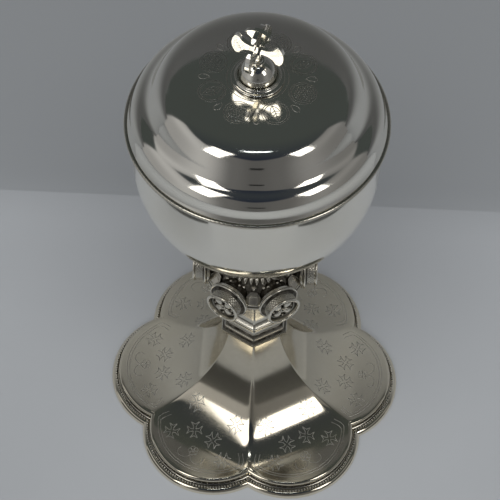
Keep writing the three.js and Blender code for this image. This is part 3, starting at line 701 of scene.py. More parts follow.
def shell_shape():
    """The raised sheet: its outside from the hole down to the skirt, then its lining back up."""
    angles = plan_angles(40)
    steps, spire_share, spire_rings, lobe_rings, lining_rings = 1000, 0.62, 46, 41, 16
    shares = np.linspace(0, spire_share, spire_rings)
    faces = arris_curve(steps)[(shares * steps).astype(int), 0] * COS_HALF
    edge = ring_at_face(angles, faces[-1])
    rim = lobed_radius(angles, SHELL_LOBE_RADIUS)
    lining = lobed_radius(angles, SHELL_LOBE_RADIUS - SHELL_WALL)
    hole = np.full(len(angles), BORE)

    rings = [ring_points(angles, hole, SPIRE_TOP)]
    for face in faces:
        rings.append(ring_points(angles, ring_at_face(angles, face), skin_height(face)))
    for share in np.linspace(0, 1, lobe_rings)[1:-1]:
        rings.append(draped_ring(angles, edge + (rim - ROLL_WIDTH - edge) * share))
    rim_height = foot_surface(rim * np.cos(angles), rim * np.sin(angles))
    for inset, drop in rolled_edge():
        radius = lobed_radius(angles, SHELL_LOBE_RADIUS - inset)
        rings.append(ring_points(angles, radius, rim_height - drop))
    rings.append(ring_points(angles, rim, SHELL_SKIRT_BASE))

    rings.append(ring_points(angles, lining, SHELL_SKIRT_BASE))
    for share in np.linspace(1, 0, lining_rings):
        radius = np.minimum(edge + (lining - edge) * share, lining)
        rings.append(draped_ring(angles, radius, SHELL_WALL * 1.1))
    step = 0.1
    for face in faces[::-3]:
        height = skin_height(face)
        slope = (skin_height(face + step) - height) / step
        length = math.hypot(1, slope)
        set_in = face + slope / length * SHELL_WALL
        lowered = min(height - SHELL_WALL / length, SPIRE_TOP - SHELL_WALL)
        rings.append(ring_points(angles, ring_at_face(angles, set_in), lowered))
    rings.append(ring_points(angles, hole, SPIRE_TOP - SHELL_WALL))

    rings = np.array(rings)
    # The skin is coloured darker the higher it is on the spire
    darkening = eased(np.clip((rings[..., 2] - DARKER_FROM_HEIGHT) / DARKER_OVER_HEIGHT, 0, 1))
    shape = Shape()
    shape.loft(rings, closed=True, tarnish_and_shade=(0.05 + 0.17 * darkening).ravel())
    return shape


class CIBORIUM_OT_foot_shell(bpy.types.Operator):
    """Raise the spire and its six lobes from one sheet"""

    bl_idname = "ciborium.foot_shell"
    bl_label = "Foot shell"

    def execute(self, context):
        finishes, _, _ = looks(context)
        make_piece("foot_skin", shell_shape(), finish_named("foot silver", finishes), "cup",
                   ("foot_shell",), crease=50)
        return {"FINISHED"}


def flange_section():
    """Flat foot ring with a rolled outer edge, as (lobe radius, height)."""
    face = FLANGE_LOBE_RADIUS
    inner = face - FLANGE_WIDTH
    roll = bezier((face, 0.9), (face - 0.02, 2.0), (face - 0.9, 2.95), (face - 2.2, FLANGE_HEIGHT), 10)
    return joined_path((inner, 0), (face - 0.2, 0), (face, 0.25), roll, (inner, FLANGE_HEIGHT))


def gallery_section():
    """Band with a groove that the arches stand in, as (lobe radius, height)."""
    base, top = GALLERY_BASE, SHELL_SKIRT_BASE - 0.05
    face = GALLERY_LOBE_RADIUS
    back, groove = face - 1.7, face - 0.9
    hollow = bezier((face - 0.15, base + 0.45), (groove, base + 0.6), (groove, top - 0.5),
                    (face - 0.35, top - 0.1), 6)
    return joined_path(
        (back, base), (face, base), (face, base + 0.35), hollow, (face - 0.4, top), (back, top))


def along_lobes(lobe_radius, spots):
    """Evenly spaced places along each lobe's arc, as (x, y, azimuth of the arc's normal)."""
    half = LOBE_CENTRE_RADIUS * math.sin(HALF_LOBE)
    notch = LOBE_CENTRE_RADIUS * COS_HALF + math.sqrt(lobe_radius ** 2 - half ** 2)
    half_arc = math.atan2(notch * math.sin(HALF_LOBE), notch * COS_HALF - LOBE_CENTRE_RADIUS)
    places = []
    for middle in LOBE_MIDDLES:
        for i in range(spots):
            angle = middle - half_arc + 2 * half_arc * (i + 0.5) / spots
            x = LOBE_CENTRE_RADIUS * math.cos(middle) + lobe_radius * math.cos(angle)
            y = LOBE_CENTRE_RADIUS * math.sin(middle) + lobe_radius * math.sin(angle)
            places.append((x, y, angle))
    return places


class CIBORIUM_OT_foot_edge(bpy.types.Operator):
    """Solder the flange, the pierced gallery and the milled wire under the lobes"""

    bl_idname = "ciborium.foot_edge"
    bl_label = "Foot edge"

    def execute(self, context):
        finishes, sizes, _ = looks(context)
        milled = finish_named("milled silver", finishes)
        flange = Shape()
        flange.loft(lobed_rings(flange_section(), 32), closed=True)
        make_piece("foot_flange_moulding", flange, finish_named("foot silver", finishes), "cup",
                   ("foot_flange",))

        gallery = Shape()
        section = gallery_section()
        # The groove behind the arches is painted dark as shade, with some sulphide
        in_groove = section[:, 0] < GALLERY_LOBE_RADIUS - 0.3
        gallery.loft(lobed_rings(section, 32), closed=True, tarnish_and_shade=0.15 + 0.75 * in_groove)
        height = (GALLERY_BASE + SHELL_SKIRT_BASE) / 2
        for x, y, angle in along_lobes(GALLERY_LOBE_RADIUS - 0.55, sizes.gallery_arches):
            ball(gallery, (x, y, height), GALLERY_ARCH, outward(angle), 0.15, 8, 6)
        make_piece("foot_gallery_arches", gallery, milled, "cup", ("foot_gallery",))

        wire = Shape()
        core = arc(WIRE_LOBE_RADIUS, WIRE_HEIGHT, WIRE_CORE_RADIUS, 0, 330, 11)
        # The core between the beads is painted dark as shade, with some sulphide
        wire.loft(lobed_rings(core, 24), closed=True, tarnish_and_shade=0.9)
        for x, y, angle in along_lobes(WIRE_LOBE_RADIUS, sizes.wire_beads):
            ball(wire, (x, y, WIRE_HEIGHT), (0.5, WIRE_RADIUS, WIRE_RADIUS), outward(angle), 0.1, 8, 6)
        make_piece("foot_milled_wire", wire, milled, "cup", ("foot_wire",))
        return {"FINISHED"}


def border_line(inset):
    """Line inside one lobe's edge that turns in beside each of its two arrises."""
    from_arris = inset * 0.72
    edge = flat_arc((LOBE_CENTRE_RADIUS, 0), SHELL_LOBE_RADIUS - inset, -100, 100, 60)
    gap = edge[:, 0] * math.sin(HALF_LOBE) - np.abs(edge[:, 1]) * COS_HALF
    keep = edge[gap > from_arris]
    end = keep[-1]
    curl = bezier(end, end + (-1.6, -0.2), end + (-3.2, -1.4), end + (-4.8, -3.0), 12)
    return joined_path(curl[::-1] * (1, -1), keep, curl)


def lobe_strokes(inset, size):
    """Strokes on the lobe towards +X, each as (path, closed, share of the line width, darkness)."""
    strokes = []
    for extra in (0.0, BORDER_GAP):
        strokes.append((resampled(border_line(inset + extra), 0.7), False, 0.8, 0.8))
    for along, aside in CROSS_PLACES:
        for side in (-1, 1):
            turn = side * math.radians(18 + along)
            cross = moved(small_cross_outline(size), turn, along, side * aside)
            strokes.append((resampled(cross, 0.3, True), True, 0.85, 1.0))
    petal_place, petal_radius = 1.5, 1.05
    petal = flat_arc((petal_place, 0), petal_radius, 35, 325, 14)
    for i in range(FLOWER_PETALS):
        turned = moved(petal, 2 * math.pi * i / FLOWER_PETALS, FLOWER_PLACE, 0)
        strokes.append((resampled(turned, 0.3, True), True, 0.8, 1.0))
    for side in (-1, 1):
        scroll = bezier((56.6, 0.3), (61.0, 2.5), (58.5, 8.5), (55.0, 6.0), 24) * (1, side)
        strokes.append((scroll, False, 0.8, 1.0))
    return strokes


class CIBORIUM_OT_foot_engraving(bpy.types.Operator):
    """Engrave the borders, the small crosses and the flowers on the six lobes"""

    bl_idname = "ciborium.foot_engraving"
    bl_label = "Foot engraving"

    def execute(self, context):
        finishes, sizes, _ = looks(context)
        width, burr = sizes.line_width / MM, sizes.line_depth / MM
        strokes = lobe_strokes(sizes.border_inset / MM, sizes.small_cross / MM)
        lines = Shape()
        for middle in LOBE_MIDDLES:
            for path, closed, share, dark in strokes:
                path = moved(path, middle, 0, 0)
                engraved_line(lines, path, foot_surface, width * share, burr, closed, dark)
        make_piece("foot_engraved_lines", lines, finish_named("engraved silver", finishes), "cup",
                   crease=60, closed=False)
        return {"FINISHED"}


# Stem

def hexagonal_rings(profile, steps=18, rounding=0.3):
    """Rings of a moulding with six flat sides, from its profile of (corner radius, height)."""
    angles = plan_angles(steps)
    first, second = nearest_faces(np.cos(angles), np.sin(angles))
    rings = []
    for corner, height in profile:
        face = corner * COS_HALF
        eased_face = smooth_greater(first * face, second * face, rounding)
        rings.append(ring_points(angles, face * face / eased_face, height))
    return np.array(rings)


def collar_profile():
    """The stepped collar, as (corner radius, height from its base)."""
    inner, top = BORE / COS_HALF, 7.7
    return joined_path(
        (inner, 0), (16.7, 0), (17.2, 0.3), (17.4, 0.7), (17.4, 2.1), (17.2, 2.4), (16.5, 2.55),
        (16.2, 2.8), (16.0, 3.0), (15.95, 4.5), (15.6, 4.9), (14.9, 5.0), (14.6, 5.2),
        bezier((14.5, 5.4), (13.7, 5.5), (13.5, 6.3), (13.4, top), 6), (inner, top))


def neck_profile():
    """The waisted neck, as (corner radius, height from its base)."""
    inner, top = BORE / COS_HALF, KNOP_BASE - 0.3 - NECK_BASE
    return joined_path(
        (inner, 0), (13.2, 0), (13.35, 0.3), (13.3, 0.7), (13.0, 0.95),
        bezier((12.95, 1.2), (11.6, 2.2), (10.65, 2.6), (10.6, 7.2), 16), (10.55, top), (inner, top))


class CIBORIUM_OT_stem(bpy.types.Operator):
    """Cast the moulded collar and the hexagonal neck above the spire"""

    bl_idname = "ciborium.stem"
    bl_label = "Stem"

    def execute(self, context):
        finishes, _, _ = looks(context)
        cast = finish_named("cast silver", finishes)
        collar = Shape()
        profile = collar_profile()
        # The two recessed steps under the collar's bands are painted dark as shade, with some sulphide
        shade = [0.9 if 2.5 < height < 3.1 or 4.95 < height < 5.6 else 0.12 for _, height in profile]
        collar.loft(hexagonal_rings(profile + (0, COLLAR_BASE)), closed=True, tarnish_and_shade=shade)
        make_piece("stem_collar", collar, cast, "cup", ("lower_collar",), crease=28)

        neck = Shape()
        profile = neck_profile()
        # Painted shadow: the top of the neck is darkened as the shade under the knop, and the groove near
        # its foot as shade with some sulphide
        shade = [0.6 if 0.8 < height < 1.2 or height > 11.7 else 0.08 for _, height in profile]
        neck.loft(hexagonal_rings(profile + (0, NECK_BASE)), closed=True, tarnish_and_shade=shade)
        make_piece("stem_hexagon", neck, cast, "cup", ("stem_neck",), crease=28)
        return {"FINISHED"}


# Knop

def knop_profile():
    """Bulging lower half, lip, sloping upper face and waist, as (radius, height)."""
    face, lip, waist = KNOP_APOTHEM, KNOP_MIDDLE - 2.6, (SHOULDER_RADIUS, SHOULDER)
    band = face + 0.7
    return joined_path(
        (BORE, KNOP_BASE), (10.6, KNOP_BASE), (10.75, KNOP_BASE + 0.5),
        bezier((10.5, KNOP_BASE + 0.8), (12.1, KNOP_BASE + 5), (face - 3, lip - 5), (face, lip), 16),
        (face + 0.55, lip + 0.15), (band, lip + 0.45), (band, KNOP_MIDDLE - 1.5),
        (face + 0.55, KNOP_MIDDLE - 1.2), (face, SLOPE_FOOT), waist,
        bezier(waist, (11.2, KNOP_TOP - 2.6), (10.2, KNOP_TOP - 1), (10.2, KNOP_TOP), 8), (BORE, KNOP_TOP))


def twelve_sided_rings(profile, steps=16):
    """Rings with twelve flat sides where the profile is wide, and round ones where it is narrow."""
    side = HALF_LOBE
    angles = circle_angles(2 * LOBES * steps)
    off = (angles + side / 2) % side - side / 2
    round_up_to, flat_after = 10.8, 5
    rings = []
    for apothem, height in profile:
        flatness = np.clip((apothem - round_up_to) / flat_after, 0, 1)
        radius = apothem * (1 + flatness * (1 / np.cos(off) - 1))
        rings.append(ring_points(angles, radius, height))
    return np.array(rings)


def slope_axes(azimuth):
    """On a sloping upper face: its right, its way up the slope, its outward normal and its foot."""
    right, up, out = outward(azimuth)
    run, rise = KNOP_APOTHEM - SHOULDER_RADIUS, SHOULDER - SLOPE_FOOT
    length = math.hypot(run, rise)
    upslope = (-run * out + rise * up) / length
    normal = (rise * out + run * up) / length
    return right, upslope, normal, out * KNOP_APOTHEM + up * SLOPE_FOOT


def shield_outline():
    """A shield with a broad waist, a flat foot and a narrow head, as (across, up the slope)."""
    side = joined_path(
        bezier((2.9, -0.5), (3.3, 0.5), (3.5, 1.6), (3.45, 3.2), 8),
        bezier((3.45, 3.2), (3.4, 4.6), (2.6, 5.6), (1.9, 6.3), 8), (1.7, 6.9), (0.8, 7.1), (0, 7.1))
    return np.vstack([side, side[::-1][1:] * (-1, 1)])


def add_shield(shape, azimuth):
    """A raised shield with a fillet round its field, two bars across and a ringed bead at its head."""
    right, upslope, normal, foot = slope_axes(azimuth)
    outline = shield_outline()
    middle = np.array([0, 3.2])
    # The foot of the shield and its fillet are darkened for sulphide and painted shade
    levels = ((1.0, -0.6, 1.0), (1.0, 1.3, 0.9), (0.98, 1.55, 0.0), (0.90, 1.6, 0.0), (0.86, 1.3, 0.9),
              (0.80, 1.25, 0.5), (0.55, 1.5, 0.2), (0.25, 1.62, 0.1), (0.02, 1.65, 0.1))
    rings, shade = [], []
    for share, lift, tarnish_and_shade in levels:
        flat = middle + (outline - middle) * share
        rings.append(foot + flat[:, :1] * right + flat[:, 1:] * upslope + lift * normal)
        shade.append(tarnish_and_shade)
    shape.loft(rings, tarnish_and_shade=shade)
    lower_bar = (0.9, 1.45, (2.5, 0.4, 0.45), 0.0, 12, 6)
    upper_bar = (4.9, 1.4, (2.1, 0.3, 0.4), 0.1, 12, 6)
    bead_ring = (8.5, 0.5, (1.45, 1.45, 1.1), 0.55, 20, 12)
    bead = (8.5, 1.3, (0.8, 0.8, 0.8), 0.0, 16, 10)
    for along, lift, radii, tarnish_and_shade, sides, rows in (lower_bar, upper_bar, bead_ring, bead):
        place = foot + along * upslope + lift * normal
        ball(shape, place, radii, (right, upslope, normal), tarnish_and_shade, sides, rows)


def add_trunk(shape, azimuth):
    """The round stub on the knop's face that a boss sits on."""
    top = KNOP_APOTHEM
    stub = turned_rings([
        (7.2, 10.0), (7.2, 19.4), (8.4, 19.8), (9.1, 20.2), (9.2, top - 0.2), (9.0, top), (0.01, top)], 64)
    # The stub is painted dark as the shade between the knop and the boss, with some sulphide
    shape.loft(stub @ outward(azimuth) + (0, 0, KNOP_MIDDLE), tarnish_and_shade=[0.9, 1.0, 0.9, 0.3, 0.1, 0.4, 0.9])


def add_gadroons(shape, count):
    """Egg-shaped ribs that lean in round the shoulder."""
    for i in range(count):
        right, up, out = outward(ARRISES[0] + 2 * math.pi / count * (i + 0.5))
        lean = (LEAN_RISE * up - LEAN_RUN * out) / math.hypot(LEAN_RISE, LEAN_RUN)
        axes = (right, lean, np.cross(right, lean))
        ball(shape, out * GADROON_CIRCLE + up * SHOULDER, GADROON_HALVES, axes, 0.0, 12, 12)


def add_beads(shape):
    """Four beads at each arris, two either side of the shield's head."""
    for azimuth in ARRISES:
        for side in (-3, -2, 2, 3):
            _, up, out = outward(azimuth + math.radians(7.5 * side))
            ball(shape, out * BEAD_CIRCLE + up * BEAD_HEIGHT, (BEAD_RADIUS,) * 3, None, 0.0, 10, 8)


class CIBORIUM_OT_knop(bpy.types.Operator):
    """Cast the twelve-sided knop with its shields, beads and gadroons"""

    bl_idname = "ciborium.knop"
    bl_label = "Knop"

    def execute(self, context):
        finishes, sizes, _ = looks(context)
        shape = Shape()
        profile = knop_profile()
        height = profile[:, 1]
        # Painted shade: the bulging lower half under the lip is darkened as shade; the sloping faces round
        # the shields are darkened for sulphide and painted shade
        on_slope = (height > SLOPE_FOOT - 0.1) & (height < KNOP_TOP - 1.5)
        under_lip = (height > KNOP_BASE + 3) & (height < KNOP_MIDDLE - 2.5)
        on_lip = profile[:, 0] > KNOP_APOTHEM + 0.5
        shape.loft(twelve_sided_rings(profile), closed=True,
                   tarnish_and_shade=0.12 + 0.72 * on_slope + 0.8 * under_lip - 0.12 * on_lip)
        for azimuth in ARRISES:
            add_shield(shape, azimuth)
        for azimuth in LOBE_MIDDLES:
            add_trunk(shape, azimuth)
        add_gadroons(shape, sizes.gadroons)
        add_beads(shape)
        make_piece("knop_casting", shape, finish_named("cast silver", finishes), "cup",
                   ("knop_body",), crease=32)
        return {"FINISHED"}


def boss_profile():
    """Back, foot moulding, side, rolled rim and inside, as (radius, height from the back)."""
    return joined_path(
        (0.01, 0.02), (8.9, 0.02), bezier((9.1, 0.02), (9.65, 0.2), (9.65, 0.8), (9.1, 0.95), 6),
        (8.6, 0.75), bezier((8.3, 0.75), (7.9, 0.9), (7.7, 1.3), (7.4, 1.5), 4),
        [(7.35, DIAPER_BASE + 0.25 * i) for i in range(13)],
        bezier((7.5, 4.9), (7.5, 5.2), (7.95, 5.1), (7.98, 5.5), 4),
        bezier((7.98, 5.6), (7.9, 6.2), (7.0, 6.25), (6.75, 5.9), 6),
        (6.6, 5.5), (6.45, 2.75), (6.2, 2.55), (0.01, 2.55))


def spot_at(radius, angle, height):
    """One point at an angle round an axis."""
    return np.array([radius * math.cos(angle), radius * math.sin(angle), height])


def drum_shape(axes, place):
    """A tubular boss with a diaper round its side and pearls on its rim; its dark inside, the step under
    its foot moulding and the hollows of the diaper are painted dark as shade, with some sulphide.
    """
    sides = 240
    profile = boss_profile()
    rings = turned_rings(profile, sides)
    ribs = np.cos(BOSS_RIBS * circle_angles(sides))
    shade = np.zeros((len(profile), sides))
    for row, (radius, height) in enumerate(profile):
        # Painted shade inside the tube, under the foot moulding and in the hollows of the diaper, with
        # some sulphide
        if radius < 6.6 and height < 5.6:
            shade[row] = 0.95
        elif 0.7 < height < 1.65 and radius < 8.9:
            shade[row] = 0.9
        elif radius > 7 and 1.65 < height < 4.8:
            diaper = ribs * math.cos(2 * math.pi * (height - DIAPER_BASE) / DIAPER_PITCH)
            rings[row, :, :2] *= 1 + DIAPER_DEPTH * diaper[:, None]
            shade[row] = 0.3 - 0.3 * diaper
    drum = Shape()
    drum.loft(rings @ axes + place, tarnish_and_shade=shade.ravel())
    for angle in circle_angles(PEARLS):
        pearl = spot_at(PEARL_CIRCLE, angle, PEARL_HEIGHT)
        ball(drum, pearl @ axes + place, (PEARL_RADIUS,) * 3, None, 0.0, 8, 6)
    return drum


def petal_rings(turn):
    """A domed petal with a shallow crease down its middle, in the plane of the plaque."""
    around = circle_angles(24)
    rings = []
    for share, lift in ((1.0, 0.0), (0.98, 0.35), (0.85, 0.72), (0.6, 0.95), (0.3, 0.9), (0.02, 0.82)):
        x = 3.2 + 2.2 * share * np.cos(around)
        y = (1.75 + 0.45 * np.cos(around)) * share * np.sin(around)
        flat = moved(np.column_stack([x, y]), turn, 0, 0)
        rings.append(np.column_stack([flat, np.full(len(flat), lift)]))
    return np.array(rings)


def flower_shape(axes, floor):
    """The stamped plaque: a dished disc, four petals with a bud between each two, and a hollow heart."""
    flower = Shape()
    # The ground of the plaque, the roots of the petals and the hollow of the heart are darkened for
    # sulphide and painted shade
    disc = turned_rings([(0.01, -1.2), (5.7, -1.2), (5.9, -1.1), (5.9, 0.3), (5.75, 0.42), (5.5, 0.3),
                         (5.45, 0.0), (0.01, 0.0)], 72)
    flower.loft(disc @ axes + floor, tarnish_and_shade=[0.9, 0.9, 0.9, 0.4, 0.0, 0.6, 1.0, 1.0])
    for i in range(PETALS):
        turn = math.pi / PETALS * (2 * i + 1)
        flower.loft(petal_rings(turn) @ axes + floor, tarnish_and_shade=[0.9, 0.5, 0.15, 0.05, 0.05, 0.05])
        bud = spot_at(BUD_PLACE, turn + math.pi / PETALS, 0.25)
        ball(flower, bud @ axes + floor, (0.55, 0.55, 0.5), None, 0.2, 10, 8)
    heart = turned_rings([
        (1.35, 0.3), (1.35, 0.9), (1.1, 1.15), (0.75, 1.1), (0.6, 0.75), (0.02, 0.7)], 32)
    flower.loft(heart @ axes + floor, tarnish_and_shade=[0.7, 0.3, 0.05, 0.1, 0.9, 0.9])
    return flower


class CIBORIUM_OT_bosses(bpy.types.Operator):
    """Turn the six tubular bosses and stamp the four-petalled plaque inside each"""

    bl_idname = "ciborium.bosses"
    bl_label = "Bosses and plaques"

    def execute(self, context):
        finishes, _, _ = looks(context)
        cast = finish_named("cast silver", finishes)
        for number, azimuth in enumerate(LOBE_MIDDLES, 1):
            axes = outward(azimuth)
            drum = drum_shape(axes, axes[2] * BOSS_BACK + (0, 0, KNOP_MIDDLE))
            make_piece(f"boss_drum_{number}", drum, cast, "cup",
                       (f"boss_{number}",), crease=40)
            flower = flower_shape(axes, axes[2] * (BOSS_BACK + PLAQUE_FLOOR) + (0, 0, KNOP_MIDDLE))
            make_piece(f"boss_flower_{number}", flower, cast, "cup",
                       (f"boss_plaque_{number}",), crease=40)
        return {"FINISHED"}


# Bowl

def bowl_profile():
    """Outside from the bottom to the rim and inside back down, as (radius, height)."""
    inner, lip = BOWL_RADIUS - BOWL_WALL, 0.5
    outside = arc(0, BOWL_CENTRE, BOWL_RADIUS, -90, 0, 64)
    inside = arc(0, BOWL_CENTRE, inner, 0, -90, 64)
    outside[0, 0] = inside[-1, 0] = 0.01
    return joined_path(
        outside, (BOWL_RADIUS, BOWL_RIM - 6), (BOWL_RADIUS, BOWL_RIM - lip),
        arc(BOWL_RADIUS - lip, BOWL_RIM - lip, lip, 20, 90, 4),
        arc(inner + lip, BOWL_RIM - lip, lip, 90, 180, 5), (inner, BOWL_RIM - 6), inside)


def under_bowl(radius, gap):
    """Height at a radius of a surface that lies a gap outside the bowl."""
    return BOWL_CENTRE - math.sqrt((BOWL_RADIUS + gap) ** 2 - radius ** 2)


def seat_profile():
    """Cup-shaped seat that clears the bowl, with a spigot through it, as (radius, height)."""
    base, top = SEAT_BASE, under_bowl(SEAT_RADIUS, 0.3)
    shoulder = 13.5
    return joined_path(
        (BORE, base), (10.2, base), (10.4, base + 0.3), (10.35, base + 0.9), (9.8, base + 1.2),
        (9.3, base + 1.4),
        bezier((9.2, base + 1.6), (7.7, base + 6), (8.4, top - 7), (19.3, top - 1.3), 18),
        (SEAT_RADIUS - 0.1, top - 0.9), (SEAT_RADIUS, top - 0.3), (SEAT_RADIUS - 0.2, top),
        (shoulder, under_bowl(shoulder, 0.35)), (SEAT_SPIGOT, under_bowl(SEAT_SPIGOT, 0.4)),
        (SEAT_SPIGOT, SEAT_TOP), (BORE, SEAT_TOP))


class CIBORIUM_OT_bowl(bpy.types.Operator):
    """Raise the bowl and cast the seat that carries it"""

    bl_idname = "ciborium.bowl"
    bl_label = "Bowl and seat"

    def execute(self, context):
        finishes, _, _ = looks(context)
        bowl = Shape()
        bowl.loft(turned_rings(bowl_profile(), 256))
        make_piece("bowl_skin", bowl, finish_named("polished silver", finishes), "cup",
                   ("bowl",), crease=50)

        seat = Shape()
        seat.loft(turned_rings(seat_profile(), 128), closed=True, tarnish_and_shade=0.15)
        leaf_height = under_bowl(SEAT_RADIUS, 0.3) - LEAF_DROP
        for i in range(SEAT_LEAVES):
            right, up, out = outward(2 * math.pi / SEAT_LEAVES * i)
            lean = LEAN_RISE * up + LEAN_RUN * out
            axes = (right, lean, np.cross(right, lean))
            ball(seat, out * LEAF_CIRCLE + up * leaf_height, LEAF_HALVES, axes, 0.1, 14, 10)
        make_piece("bowl_calyx", seat, finish_named("cast silver", finishes), "cup",
                   ("bowl_seat",), crease=40)
        return {"FINISHED"}


# Lid

def lid_shell_shape():
    """The raised sheet of the lid, with its inside a wall away from its outside."""
    outside = lid_profile(3)
    ahead = np.gradient(outside, axis=0)
    ahead /= np.linalg.norm(ahead, axis=1, keepdims=True)
    inside = outside + np.column_stack([ahead[:, 1], -ahead[:, 0]]) * LID_WALL
    inside[:, 0] = np.maximum(inside[:, 0], STUD_BORE)
    shell = Shape()
    shell.loft(turned_rings(joined_path(outside, inside[::-1]), 320), closed=True)
    return shell


def milled_wire_shape():
    """Round wire with slanting grooves rolled all along it; its grooves are darkened for sulphide and
    painted shade, and its underside is painted dark as shadow.
    """
    sides, grooves, slant, groove_depth, last = 720, 180, 2.0, 0.03, 345
    middle = LID_RADIUS - LID_WIRE_RADIUS
    angles = circle_angles(sides)
    axis = ring_points(angles, middle, RIM_PLANE)
    rings = turned_rings(arc(middle, RIM_PLANE, LID_WIRE_RADIUS, 0, last, 23), sides)
    shade = []
    for row, turn in enumerate(np.radians(np.linspace(0, last, len(rings)))):
        groove = 0.5 + 0.5 * np.cos(grooves * angles + slant * turn)
        # Painted shadow on the underside of the wire
        under = 0.6 * (math.sin(turn) < -0.5)
        rings[row] = axis + (rings[row] - axis) * (1 - groove_depth * groove)[:, None]
        shade.append(0.05 + 0.15 * groove + under)
    wire = Shape()
    wire.loft(rings, closed=True, tarnish_and_shade=np.concatenate(shade))
    return wire


def sleeve_profile():
    """The ring that slides in the bowl, with the bearer that rests on the rim, as (radius, height)."""
    outer = BOWL_RADIUS - BOWL_WALL - SLEEVE_CLEARANCE
    inner = outer - SLEEVE_WALL
    rest = BOWL_RIM + REST_CLEARANCE
    low = rest - SLEEVE_DEPTH
    bearer = LID_RADIUS - 2 * LID_WIRE_RADIUS - 0.3
    return joined_path(
        (inner + 0.3, low), (outer - 0.3, low), (outer, low + 0.4), (outer, rest), (bearer - 0.2, rest),
        (bearer, rest + 0.2), (bearer, rest + 1.0), (bearer - 0.8, rest + 1.6), (inner + 0.3, rest + 1.7),
        (inner, rest + 1.4), (inner, low + 0.4))


class CIBORIUM_OT_lid(bpy.types.Operator):
    """Raise the lid, fit its sleeve and solder the milled wire round its rim"""

    bl_idname = "ciborium.lid"
    bl_label = "Lid"

    def execute(self, context):
        finishes, _, _ = looks(context)
        polished = finish_named("polished silver", finishes)
        make_piece("lid_skin", lid_shell_shape(), polished, "lid", ("lid_shell",),
                   crease=50)
        make_piece("lid_milled_wire", milled_wire_shape(), finish_named("milled silver", finishes), "lid",
                   ("lid_rim_wire",), crease=60)
        sleeve = Shape()
        sleeve.loft(turned_rings(sleeve_profile(), 192), closed=True)
        make_piece("lid_sleeve_ring", sleeve, polished, "lid", ("lid_sleeve",))
        return {"FINISHED"}


def leaf_paths(reach):
    """A pointed leaf with its midrib and six veins, as (path, closed)."""
    half = bezier((-reach, 0), (-reach * 0.3, reach * 0.75), (reach * 0.4, reach * 0.6), (reach, 0), 14)
    midrib = np.array([(-reach, 0), (-reach * 0.3, 0.05), (reach * 0.3, -0.05), (reach * 0.8, 0)])
    paths = [(np.vstack([half, half[::-1][1:-1] * (1, -1)]), True), (midrib, False)]
    for share in (-0.35, 0.0, 0.35):
        root = share * reach
        for side in (-1, 1):
            vein = np.array([(root, 0), (root + 0.5, side * 0.55), (root + 0.8, side * reach * 0.42)])
            paths.append((vein, False))
    return paths


def scale_paths(radius):
    """Rows of half-round scales that fill a circle, as (path, closed)."""
    scale = radius * 0.2
    paths = []
    for row in range(-SCALE_REACH, SCALE_REACH + 1):
        for column in range(-SCALE_REACH, SCALE_REACH + 1):
            x = row * scale * 0.95
            y = (column + 0.5 * (row % 2)) * scale * 1.15
            if math.hypot(x, y) + scale * 0.5 < radius * 0.8:
                paths.append((flat_arc((x, y), scale * 0.52, -95, 95, 8), False))
    return paths


def roundel_paths(radius, leaf):
    """Lines of one roundel about its own middle, as (path, closed); the outward direction is +X."""
    rings = [(flat_arc((0, 0), radius, 0, 360, 48)[:-1], True),
             (flat_arc((0, 0), radius * 0.84, 0, 360, 44)[:-1], True)]
    return rings + (leaf_paths(radius * 0.72) if leaf else scale_paths(radius))


class CIBORIUM_OT_lid_engraving(bpy.types.Operator):
    """Engrave the wreath of roundels round the finial"""

    bl_idname = "ciborium.lid_engraving"
    bl_label = "Lid engraving"

    def execute(self, context):
        finishes, sizes, _ = looks(context)
        width, burr = sizes.line_width / MM, sizes.line_depth / MM
        radius, reach = sizes.roundel_radius / MM, sizes.roundel_reach / MM
        lines = Shape()
        crown_line = flat_arc((0, 0), CROWN_LINE_RADIUS, 0, 360, 120)[:-1]
        engraved_line(lines, crown_line, lid_surface, width, burr, True)
        for i in range(ROUNDELS):
            azimuth = LID_TURN + 2 * math.pi / ROUNDELS * i
            x, y = reach * math.cos(azimuth), reach * math.sin(azimuth)
            for path, closed in roundel_paths(radius, leaf=i % 2 == 1):
                path = resampled(moved(path, azimuth, x, y), 0.28, closed)
                engraved_line(lines, path, lid_surface, width, burr, closed)
            between = azimuth + math.pi / ROUNDELS
            for side in (-1, 1):
                leaf = bezier((18.6, side * 0.1), (20.0, side * 1.5), (22.4, side * 1.6), (22.8, 0), 12)
                engraved_line(lines, moved(leaf, between, 0, 0), lid_surface, width * 0.8, burr)
        make_piece("lid_engraved_lines", lines, finish_named("engraved silver", finishes), "lid",
                   crease=60, closed=False)
        return {"FINISHED"}


# Finial

def cross_outline():
    """Outline of one plate: a stem and three arms that widen into axe blades, as (across, height)."""
    half, reach, foot = CROSS_STEM, CROSS_REACH, -CROSS_FOOT
    upper = joined_path(
        bezier((half, half), (5.0, 1.2), (6.8, 2.0), (8.0, 5.4), 12),
        bezier((8.0, 5.4), (9.8, 4.2), (reach, 2.1), (reach, 0), 8))
    arm = np.vstack([upper, upper[::-1][1:] * (1, -1)])[::-1][1:-1]
    return joined_path(
        (half, foot), (half, -half), arm, (half, half), moved(arm, math.pi / 2, 0, 0), (-half, half),
        moved(arm, math.pi, 0, 0), (-half, -half), (-half, foot))


def add_plate(work, azimuth, thickness):
    """One flat plate of the cross, standing upright along an azimuth, with softened edges."""
    direction = Vector((math.cos(azimuth), math.sin(azimuth), 0))
    square = Vector((-math.sin(azimuth), math.cos(azimuth), 0))
    front, back = [], []
    for across, height in cross_outline():
        spot = direction * across + Vector((0, 0, CROSS_CENTRE + height))
        front.append(work.verts.new((spot + square * thickness / 2) * MM))
        back.append(work.verts.new((spot - square * thickness / 2) * MM))
    faces = [work.faces.new(front), work.faces.new(back[::-1])]
    count = len(front)
    for i in range(count):
        j = (i + 1) % count
        faces.append(work.faces.new((front[j], front[i], back[i], back[j])))
    rims = [edge for face in faces[:2] for edge in face.edges]
    bmesh.ops.bevel(work, geom=rims, offset=EDGE_SOFTENING * MM, segments=3, profile=0.6, affect="EDGES")


